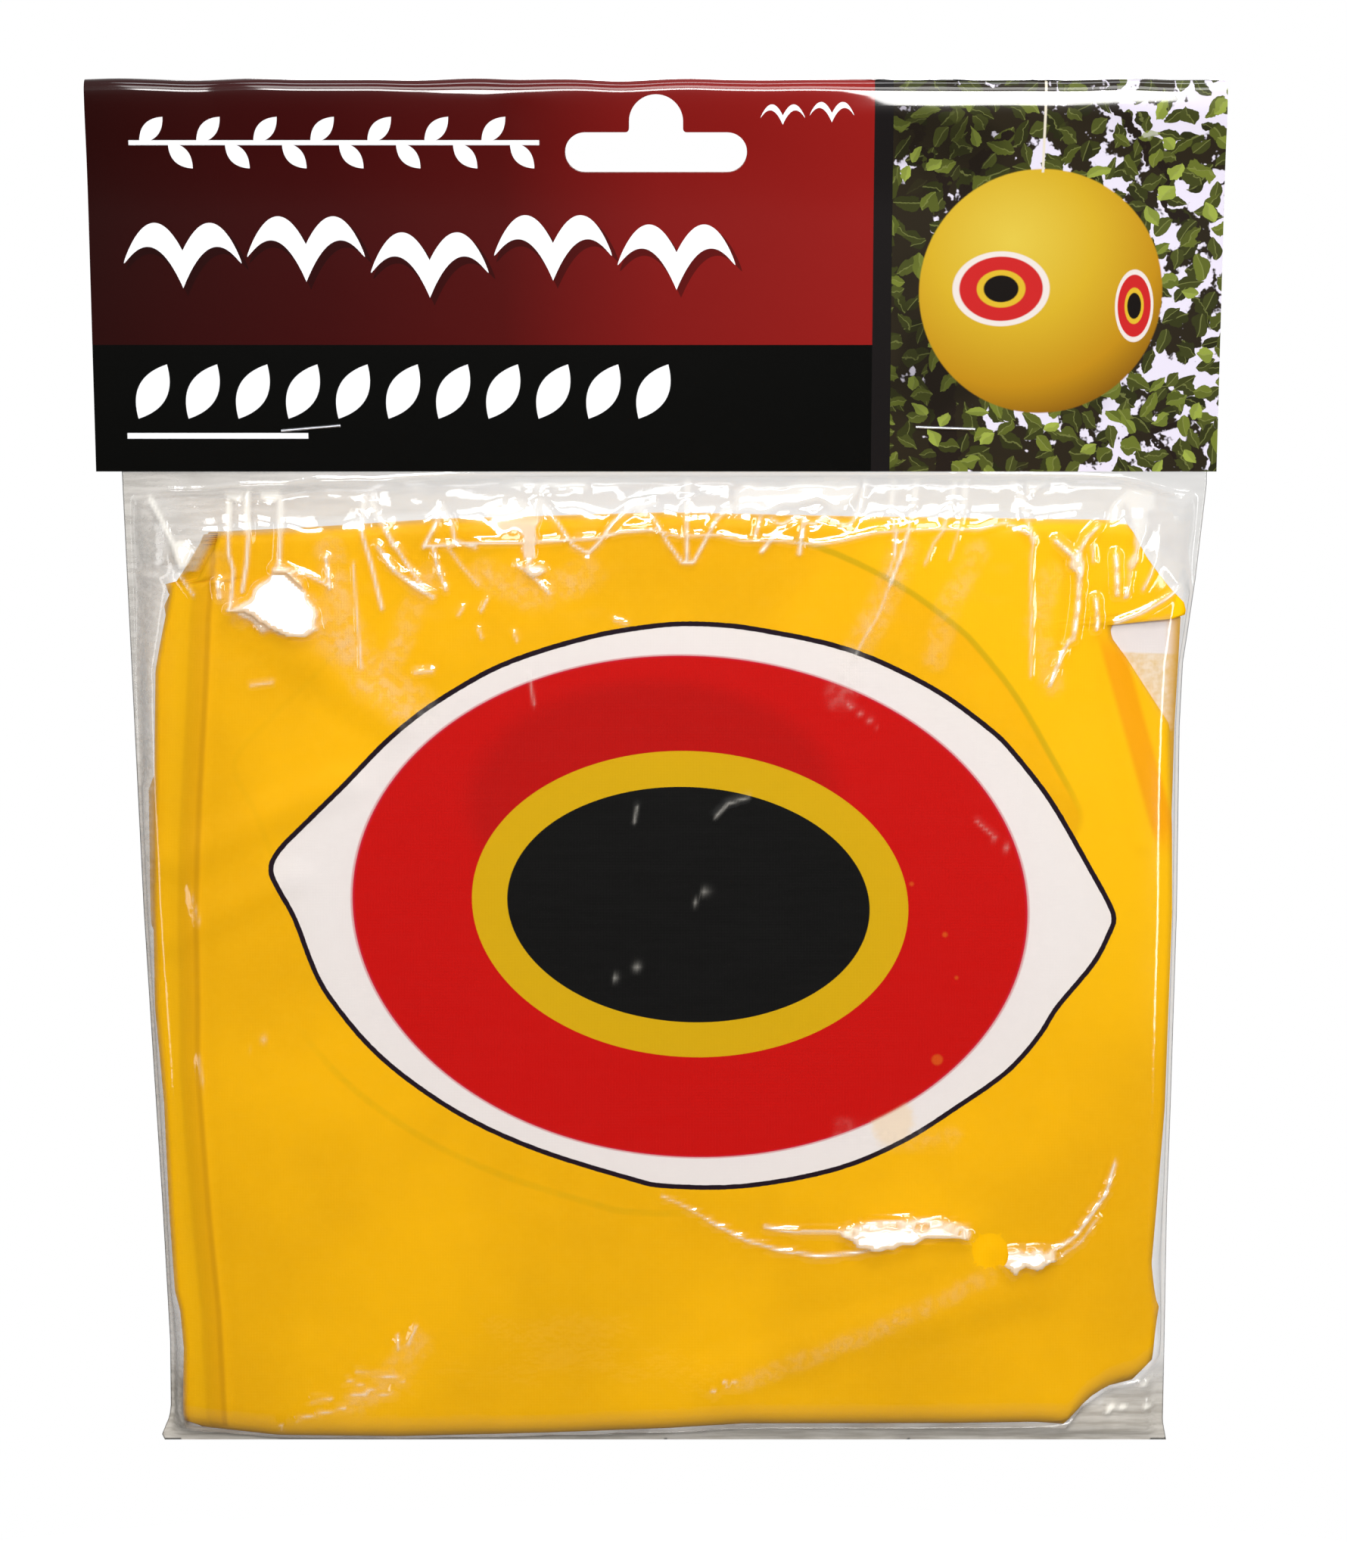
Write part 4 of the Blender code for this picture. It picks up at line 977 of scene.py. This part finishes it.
# Creases that catch the light: how wide and how strong each one is, from 0 to 1, and places along it
glints = (
    (0.36, 1.00, ((-41.3, -79), (-36.6, -78.6), (-31.2, -78.3), (-23, -78.2), (-16.4, -77.8),
     (-10.2, -77.4), (-6.2, -76.3), (-0.8, -75.9))),
    (0.30, 0.90, ((-0.8, -75.9), (4.1, -77.1), (11.1, -76.9), (15.2, -77.8), (22.2, -77.9),
     (28.4, -78.6), (32.8, -77.9), (38.6, -76.5), (44.7, -76), (50.9, -75.8), (57.1, -76),
     (61.7, -74.8))),
    (0.41, 1.00, ((61.7, -74.8), (64.5, -75.9), (67.5, -77.5))),
    (0.50, 1.00, ((-49.4, -73.3), (-47, -77.9), (-44.1, -82.5), (-41.4, -86.3))),
    (0.76, 1.00, ((-49.4, -79.1), (-46.6, -83.3), (-43.3, -85.8), (-39.8, -88.1))),
    (0.48, 1.00, ((-41.3, -79.1), (-39, -74.8), (-38.1, -71.9), (-36.2, -74.8), (-35.8, -77.9),
     (-32, -79.1))),
    (0.41, 1.00, ((-39.6, -79.1), (-38.7, -83.3), (-37.4, -86.7))),
    (0.44, 0.80, ((-37, -79.1), (-34.6, -82.5), (-31.7, -85.8))),
    (0.55, 1.00, ((-24.7, -82.1), (-21.1, -85), (-19, -87.3))),
    (0.41, 1.00, ((-19.4, -72), (-17.2, -75.1), (-14.8, -78.7), (-12.1, -80.2), (-10.2, -78.3),
     (-7.8, -74.8), (-4.5, -72), (-0, -71.3))),
    (0.41, 1.00, ((-3.3, -72), (-0.4, -74), (2.1, -78.3), (4.6, -81.8), (6.6, -81.8), (8.7, -77.9),
     (10.7, -74), (14, -71.6))),
    (0.83, 1.00, ((5.6, -67.1), (5.4, -71.8))),
    (0.55, 1.00, ((5.4, -71.8), (5.4, -76.3), (5.5, -81.3))),
    (0.41, 1.00, ((9.8, -75.5), (12.2, -72.4), (16, -71.3), (19.2, -70.9))),
    (0.41, 1.00, ((20.3, -74), (22.2, -75.1), (25, -73.6), (27.9, -75.1), (30, -73.3), (32.8, -75.1),
     (34.5, -75.1), (36.2, -72), (37.5, -67.1))),
    (0.62, 1.00, ((21.4, -76.3), (18.7, -79.8))),
    (0.62, 1.00, ((26.2, -74), (25.4, -80.2))),
    (0.55, 1.00, ((19.2, -71.1), (17.6, -76.8))),
    (0.50, 1.00, ((42.5, -67.1), (41.6, -72.4), (42.5, -76.3), (42.4, -80.5))),
    (0.33, 0.80, ((42.4, -80.5), (41.2, -84.2))),
    (0.76, 1.00, ((46.6, -67.1), (45.4, -72.6))),
    (0.41, 1.00, ((45.4, -72.6), (44.7, -76.3), (43.6, -80.5), (41.6, -85.8))),
    (0.33, 0.75, ((41.6, -85.8), (39.4, -91.7), (37.1, -95.5), (35.5, -98.8))),
    (0.50, 1.00, ((53.6, -67.1), (51.8, -72.4), (50.9, -76.1))),
    (0.33, 0.80, ((50.9, -76.1), (49.3, -78.3), (47.8, -82.1))),
    (0.62, 1.00, ((55.3, -67.1), (54.5, -72.6))),
    (0.30, 0.70, ((54.5, -72.6), (53.4, -77.1), (52.2, -81.3))),
    (0.55, 1.00, ((61.9, -66.6), (63.9, -68.6), (65.1, -71.3), (66.1, -75.1), (67, -78.3))),
    (0.30, 0.80, ((67, -78.3), (66.6, -81.3), (66.9, -91.9), (67, -102.6))),
    (0.48, 1.00, ((70.7, -77.9), (72.4, -79.4), (74, -80.9))),
    (0.47, 1.00, ((71.1, -78), (73.2, -79.7), (74.7, -81.2), (75.6, -79), (76.5, -77.4), (78.4, -75.5))),
    (0.69, 1.00, ((75.1, -82.2), (75.2, -86.6), (75.1, -89.8), (74.4, -95.6))),
    (0.55, 1.00, ((73.8, -95.9), (72.5, -98.5), (71.1, -102.4), (70.4, -104.3))),
    (0.44, 1.00, ((78.3, -88.5), (78.7, -92.5), (78.5, -94))),
    (0.35, 0.90, ((77.5, -79), (77.9, -81.8))),
    (0.69, 1.00, ((81.7, -80.6), (82, -85.1), (82.1, -87.6))),
    (0.41, 0.90, ((89.2, -81.2), (88.1, -84.4), (86.8, -87))),
    (0.39, 1.00, ((82, -93), (86.9, -91.1), (90.8, -88.9), (94.5, -86.1))),
    (0.44, 1.00, ((-76, -69.2), (-76.1, -80.5), (-75.3, -83.5), (-76, -90.2))),
    (0.58, 1.00, ((-73, -69.2), (-72.5, -77.4), (-72.9, -82.2), (-73.8, -87.2))),
    (0.76, 0.95, ((-66.9, -71.1), (-66.7, -76.1), (-67.1, -82.2))),
    (0.36, 1.00, ((-91.9, -68.4), (-90, -71.8), (-88.1, -74.8), (-86.2, -78.3), (-84.9, -82.5))),
    (0.50, 1.00, ((-51.9, -70.5), (-52.3, -76.5), (-50.7, -82.2), (-48.9, -90.2))),
    (0.50, 1.00, ((-50.7, -71.1), (-48.7, -74.9), (-46.7, -78.9))),
    (0.30, 0.85, ((-53.9, -82.2), (-53.5, -89.6), (-52.7, -101.1))),
    (0.48, 1.00, ((-58.7, -81), (-58.1, -86.5))),
    (0.39, 1.00, ((-67.1, -82.5), (-62.4, -84), (-58.5, -85.9))),
    (0.33, 0.90, ((-84.9, -84.4), (-82.6, -88))),
    (0.33, 0.80, ((-72.7, -104.3), (-68.7, -103.7))),
    (0.55, 1.00, ((-78.1, -85.4), (-77.9, -88.4))),
    (0.33, 0.90, ((-30.1, -88.4), (-31.2, -90.6))),
    (0.33, 0.80, ((-34.4, -90), (-35.3, -91.4))),
    (0.36, 0.80, ((-31.7, -93.9), (-31.1, -95.5))),
    (0.36, 0.80, ((-25.3, -94.7), (-24.8, -96))),
    (0.55, 0.85, ((-43.2, -101.8), (-40, -101.5))),
    (0.33, 0.75, ((-7.5, -92.2), (-5.2, -93))),
    (0.52, 1.00, ((19.9, -205.3), (25.2, -206.4), (34, -206.4), (40, -204.7))),
    (0.97, 1.00, ((34, -206.4), (40, -204.8), (47, -204.4), (51.7, -204.5), (57.2, -206.1))),
    (0.47, 1.00, ((9.8, -204.3), (16.5, -208), (22.3, -209.8), (29.5, -211.1), (36.4, -210.5),
     (43.5, -208.9), (51.8, -207), (57.6, -207))),
    (0.33, 0.80, ((1, -199.4), (5.9, -201.8), (9.8, -204.3))),
    (0.97, 1.00, ((64.1, -210.8), (67.3, -212), (71.2, -210.8))),
    (0.44, 1.00, ((71.2, -210.8), (74.3, -209.7), (77, -207.8), (79.9, -203.7), (82.7, -199.4),
     (84.2, -193.9))),
    (0.41, 1.00, ((77.8, -206.7), (79.2, -204.4), (80.3, -202.8))),
    (0.30, 0.80, ((74.3, -211.7), (78.4, -208.5), (81.1, -204.4))),
    (0.36, 0.90, ((-55.8, -234), (-51.2, -234.3), (-47, -235.3))),
    (0.30, 0.80, ((-57.5, -235.3), (-53.6, -237.2), (-50.7, -238.3), (-49, -237.7))),
    (0.33, 0.85, ((-48.1, -226.6), (-47.9, -229.4))),
    (0.41, 0.85, ((-44.5, -224.5), (-46.2, -228.6))),
    (0.41, 0.80, ((-64.2, -239.7), (-60.5, -239.2))),
    (0.55, 0.90, ((-56.6, -238.4), (-54.1, -238.3))),
    (0.30, 0.85, ((-67, -243.3), (-62.3, -242), (-58, -240.9))),
    (0.36, 0.90, ((-70.1, -244.4), (-69.8, -245.1))),
    (0.36, 1.00, ((12.5, -235.6), (13.1, -236.2))),
    (0.36, 1.00, ((14.2, -235.7), (14.9, -236))),
    (0.33, 0.90, ((10.1, -237.1), (10.7, -237.4))),
    (0.41, 1.00, ((84.4, -243.3), (85.5, -242.4))),
    (0.36, 0.90, ((86.8, -242.9), (87.6, -242.6))),
    (0.47, 1.00, ((91.6, -242.9), (92.9, -242.1))),
    (0.41, 1.00, ((92.4, -237.1), (93.2, -236.5))),
    (0.36, 0.90, ((90.9, -238.3), (91.6, -237.7))),
    (0.36, 0.75, ((10.6, -128.2), (12.9, -125.7), (16.7, -124.5))),
    (0.33, 0.70, ((-4, -129.3), (-3.5, -126.2))),
    (0.33, 0.70, ((6.9, -144.2), (8.5, -141.9), (11.6, -141.1))),
    (0.33, 0.70, ((-22.7, -102.1), (-21.9, -107.6))),
    (0.30, 0.70, ((-7.7, -158), (-1.3, -154.9))),
    (0.33, 0.70, ((-74.3, -171.6), (-71.2, -169.7))),
    (0.41, 0.65, ((57.7, -129.1), (63.5, -134.3))),
    (0.33, 0.65, ((34.3, -107.6), (39.5, -111.5))),
    (0.36, 0.70, ((-84.6, -142.5), (-83.1, -148.1))),
    (0.36, 0.70, ((-83.7, -173.7), (-83, -179.5))),
)
# Outlines of the film's blown faces that throw the front lamp back whole
glare = (
    ((-76.3, -90.4), (-73, -87.7), (-69.8, -85), (-67.1, -82.5), (-64.1, -82.8), (-62, -86.5),
     (-60.1, -91.4), (-59.9, -94.1), (-62.2, -95.6), (-67.1, -95.4), (-70.7, -94.4), (-74.3, -91.9)),
    ((-86, -78.9), (-83.5, -78), (-81.8, -79.9), (-83.1, -82.7), (-84.7, -82.9)),
    ((-76.6, -66.9), (-73.9, -66.3), (-68.5, -67.1), (-65.9, -71.1), (-68.3, -71.6), (-71.1, -69.9),
     (-74, -72.1), (-76.5, -70.5)),
    ((-30.6, -71.4), (-25.2, -70.9), (-19.6, -71.1), (-20.9, -76.1), (-21.7, -81.8), (-23.3, -82.4),
     (-23.8, -77.8), (-27.8, -76.1), (-29.8, -73.9)),
    ((-23.9, -82.2), (-20.4, -81.6), (-18.8, -83.2), (-20.6, -84.6), (-22.8, -83.7)),
    ((-29.1, -67.1), (-10.4, -66.9), (-12, -69.1), (-20.4, -69.4), (-28, -68.9)),
    ((13.1, -68.6), (20.1, -67.6), (36.8, -67.3), (35.4, -72.6), (30.8, -72.1), (26, -71.4),
     (19.2, -73.1), (14.1, -72.9)),
    ((74.4, -79.1), (76.2, -78.3), (76.7, -82.7), (76.4, -86.5), (75.1, -86.2), (74.3, -82.7)),
    ((83.7, -69.4), (89.6, -69.6), (87.5, -76.1), (86, -81.6), (84.8, -88.4), (83.2, -88.7),
     (84.1, -82.1), (85.1, -76.1), (83.1, -72.1), (80.5, -76.1), (78.7, -74.9), (80.9, -71.6)),
    ((64.4, -66.9), (74.6, -66.6), (71.9, -68.1), (68.1, -69.1), (66.1, -71.1), (65.1, -68.6)),
    ((34, -206.6), (40, -205.1), (47, -204.5), (51.7, -204.7), (57.6, -206.4), (57.6, -207.5),
     (51.8, -207.6), (43.6, -209.4), (36.7, -209.1)),
    ((63.1, -209.9), (66.6, -209.2), (71.5, -209.9), (73.6, -211.4), (70.1, -213.2), (66, -214.3),
     (63.4, -212.6)),
)


def close_to(points, reach):
    """The film's front within that reach, in metres, of the box round some points in millimetres."""
    (low_x, low_z), (high_x, high_z) = np.min(points, axis=0) / 1000, np.max(points, axis=0) / 1000
    near = (ring_side < 0) & (ring_x > low_x - reach) & (ring_x < high_x + reach)
    return near & (ring_z > low_z - reach) & (ring_z < high_z + reach)


def pressed(points, half):
    """A stroke over the bag's front, worked out only where it lies."""
    near = close_to(points, half)
    mark = np.zeros_like(ring_x)
    mark[near] = stroke(ring_x[near], ring_z[near], points, half)
    return mark


fall = np.gradient(body, axis=0) / np.gradient(ring_z, axis=0)
key_spot = Vector(lamps[0][1])
film_front = -0.0065
low_shelf, high_shelf, glare_shelf = mm(2.0, 3.0, 9.5)
rest_gap = 0.0004


def lean_to_key(near, middle, share, shelf, base=rest_gap):
    """Tilt the film there, in shelves, so that it throws the front lamp back at the camera."""
    facing = (camera.location - middle).normalized() + (key_spot - middle).normalized()
    lean_x = facing.x / facing.y
    lean_z = facing.z / facing.y - float(np.clip(np.mean(fall[near]), -0.5, 0.5))
    steep = math.hypot(lean_x, lean_z)
    run = (lean_x * (ring_x[near] - middle.x) + lean_z * (ring_z[near] - middle.z)) / (steep * shelf)
    step = np.floor(run + 0.5 + 0.3 * rough(ring_x[near], ring_z[near], 0.007, 9.0))
    stand[near] = stand[near] * (1 - 0.8 * share) + (base + steep * shelf * (run - step + 0.8)) * share


# The film follows the pile's lumps, is crushed near the card and drawn into upright folds under it
stand += (0.00045 + lumps(ring_x, ring_z)) * (ring_side < 0)
stand += 0.00026 * (1 + rough(ring_x, ring_z, 0.019, 21.0)) + 0.00005 * rough(ring_x, ring_z, 0.006, 5.5)
crushed = ease((ring_z + 0.106) / 0.022) * ease(0.5 + 1.6 * rough(ring_x, ring_z, 0.016, 55.0))
stand += 0.00024 * rough(ring_x, ring_z, 0.0044, 77.0) * crushed
tense = 0.5 + 0.5 * rough(ring_x + 0.25 * ring_z, ring_z * 0.16, 0.0062, 40.0)
stand += 0.00095 * tense * ease((0.0240 - drop) / 0.020)
stand += 0.00050 * rough(ring_x, ring_z * 0.6, 0.0095, 66.0) * ease((0.0105 - drop) / 0.006)
low_creases, high_creases = -190, -100
# Painted glints: each crease is also noted for a pale white veil in the film, partly whitened crease and
# partly painted highlight.
creased = np.zeros_like(stand)
for half, strength, points in glints:
    wide = 0.0008 + 0.0010 * half
    mark = pressed(points, wide)
    middle_x, middle_z = points[len(points) // 2]
    middle = Vector((middle_x / 1000, film_front, middle_z / 1000))
    if points[0][1] < low_creases:
        lean_to_key(mark > 0, middle, ease(1.6 * mark[mark > 0]), low_shelf)
    elif strength > 0.95 and half > 0.40 and points[0][1] > high_creases:
        over_flap = flap_high * (middle.x > 0.074)
        lean_to_key(mark > 0, middle, ease(1.5 * mark[mark > 0]), high_shelf, 0.0003 + rest_gap + over_flap)
    else:
        stand += 0.34 * wide * strength * mark
    creased = np.maximum(creased, strength * mark ** 2)
# Painted glare: the blown faces are noted for the same pale white veil, a painted highlight.
painted_glare = np.zeros_like(stand)
for outline in glare:
    near = close_to(outline, 0.002)
    loop = np.array(outline) / 1000
    far = from_loop(loop, ring_x[near], ring_z[near])
    middle_x, middle_z = np.mean(loop, axis=0)
    middle = Vector((middle_x, film_front, middle_z))
    blow = ease(0.35 - far - 1.5 * rough(ring_x[near], ring_z[near], 0.0030, 4.0))
    lean_to_key(near, middle, blow, glare_shelf)
    painted_glare[near] = np.maximum(painted_glare[near], blow)
# Painted sheen: broad soft strokes where the film gets a pale veil in place of soft highlights.
scuffed = np.zeros_like(stand)
for half, strength, points in (
        (0.0060, 0.9, ((-62, -92), (-55, -97), (-50, -104), (-43, -109))),
        (0.0040, 0.7, ((-58, -80), (-56, -90), (-53, -98))),
        (0.0035, 0.6, ((-40, -84), (-44, -92), (-47, -99))),
        (0.0045, 0.6, ((-30, -84), (-22, -88), (-12, -84))),
        (0.0030, 0.5, ((-78, -82), (-77, -88), (-74, -92))),
        (0.0040, 0.6, ((44, -80), (40, -90), (36, -98), (33, -106))),
        (0.0035, 0.5, ((57, -80), (52, -90), (50, -99))),
        (0.0035, 0.5, ((70, -84), (68, -94), (71, -104))),
        (0.0040, 0.5, ((-56, -240), (-50, -236), (-44, -228))),
        (0.0028, 0.45, ((17, -235.5), (40, -226), (61, -215.5))),
        (0.0030, 0.4, ((34, -187), (44, -189), (54, -188)))):
    scuffed = np.maximum(scuffed, strength * pressed(points, half))
scuffed *= 0.5 + 0.5 * np.clip(0.5 + 1.6 * rough(ring_x, ring_z, 0.0045, 14.0), 0, 1)
soft_zone = ease((ring_edge - 0.001) / 0.003) * ease((lift - 0.0004) / 0.0025)
soft_zone *= ease((drop + 0.0005) / 0.0020) * below_card
ring_y = ring_side * (body + stand * soft_zone)
bend_to(bag, ring_x, ring_y, ring_z)
note(bag, "creased", np.maximum(creased, 0.9 * painted_glare) * soft_zone)
note(bag, "scuffed", scuffed)
pile_gap = np.minimum(ring_x - along(front_left, ring_z), along(front_right, ring_z) - ring_x)
pile_gap = np.minimum(pile_gap, pile_top + along(top_line, ring_x) - ring_z)
pile_gap = np.minimum(pile_gap, ring_z - pile_foot - along(foot_line, ring_x))
note(bag, "empty", ease(0.5 - pile_gap / 0.0016))
bpy.ops.object.mode_set(mode="EDIT")
bpy.ops.mesh.select_all(action="SELECT")
bpy.ops.mesh.remove_doubles(threshold=2e-6)
bpy.ops.mesh.select_all(action="DESELECT")
bpy.ops.object.mode_set(mode="OBJECT")
vent_x, vent_z, vent_half, vent_rim = mm(61.4, -210.2, 3.3, 0.6)


def from_vent(corner):
    """How far a corner of the film lies from the middle of the punched vent."""
    return math.hypot(corner.co.x - vent_x, corner.co.z - vent_z)


for corner in bag.data.vertices:
    corner.select = corner.co.y < 0 and from_vent(corner) < vent_half
bpy.ops.object.mode_set(mode="EDIT")
bpy.ops.mesh.delete(type="VERT")
bpy.ops.object.mode_set(mode="OBJECT")
for corner in bag.data.vertices:
    if corner.co.y < folds_back and vent_half <= from_vent(corner) < vent_half + vent_rim:
        away = vent_half / from_vent(corner)
        corner.co.x = vent_x + (corner.co.x - vent_x) * away
        corner.co.z = vent_z + (corner.co.z - vent_z) * away
bag.data.shade_smooth()

film, start = new_finish("clear film")
x, _, z, spot = place_of(start)
empty, crease_and_glint_paint, sheen_paint = (start.noted(name) for name in ("empty", "creased", "scuffed"))
smoky = start.grain(spot, 0.12, 4.0)
fine = start.grain(spot, 0.55, 3.0)
streaks = start.grain(start.stretch(spot, (0.10, 1.0, 0.9)), 1.0, 4.0)
crackle = start.node("ShaderNodeTexNoise", {"noise_type": "RIDGED_MULTIFRACTAL"},
                     {"Vector": spot, "Scale": 0.22, "Detail": 4.0})
bump = start.node("ShaderNodeBump", sockets={
    "Height": fine * 0.05 + crackle * 0.05 * (0.3 + empty), "Strength": 0.6, "Distance": 0.001})
streaked = smoky * 0.4 + streaks.above(0.5, 0.18) * 0.6
grey = streaked.mix(paint(160, 153, 142), paint(216, 211, 203))
# Painted highlights: creases, glare faces and sheen strokes get a pale white veil over the film's grey haze.
pale = crease_and_glint_paint.math("MAXIMUM", crease_and_glint_paint, sheen_paint) * (1 - empty * 0.8)
haze_and_glint_shader = start.node("ShaderNodeBsdfPrincipled", sockets={
    "Base Color": pale.above(0.08, 0.08).mix(grey, paint(250, 246, 236)), "Roughness": 0.5,
    "Specular IOR Level": 0.0})
clear = start.node("ShaderNodeBsdfTransparent", sockets={0: (1, 1, 1, 1)})
# The grey veil over the empty film is heavier towards the left and much heavier at the foot.
veil_amount = 0.13 + 0.34 * x.below(-60, 40) + 0.74 * z.below(-238, 8)
haze_and_glint_paint = 0.004 + crease_and_glint_paint ** 3 * (0.66 - empty * 0.50) + sheen_paint * (0.05 + 0.15 * fine.above(0.5, 0.12))
empty_film_veil = empty * veil_amount * (0.7 + smoky * 0.6)
veil = start.node("ShaderNodeMixShader", sockets={0: haze_and_glint_paint + empty_film_veil, 1: clear, 2: haze_and_glint_shader})
gloss = start.node("ShaderNodeBsdfGlossy", sockets={"Roughness": 0.09, "Normal": bump})
slant = start.node("ShaderNodeLayerWeight", sockets={"Blend": 0.5, "Normal": bump}, out=1)
rim_light = (0.10 + 0.7 * slant ** 5) * (1 - 0.7 * empty * z.below(-240, 5))
start.node("ShaderNodeOutputMaterial",
           sockets={0: start.node("ShaderNodeMixShader", sockets={0: rim_light, 1: veil, 2: gloss})})
bag.data.materials.append(film)
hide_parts("bag_mouth", "bag_neck", "bag_pouch")
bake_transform(bag)
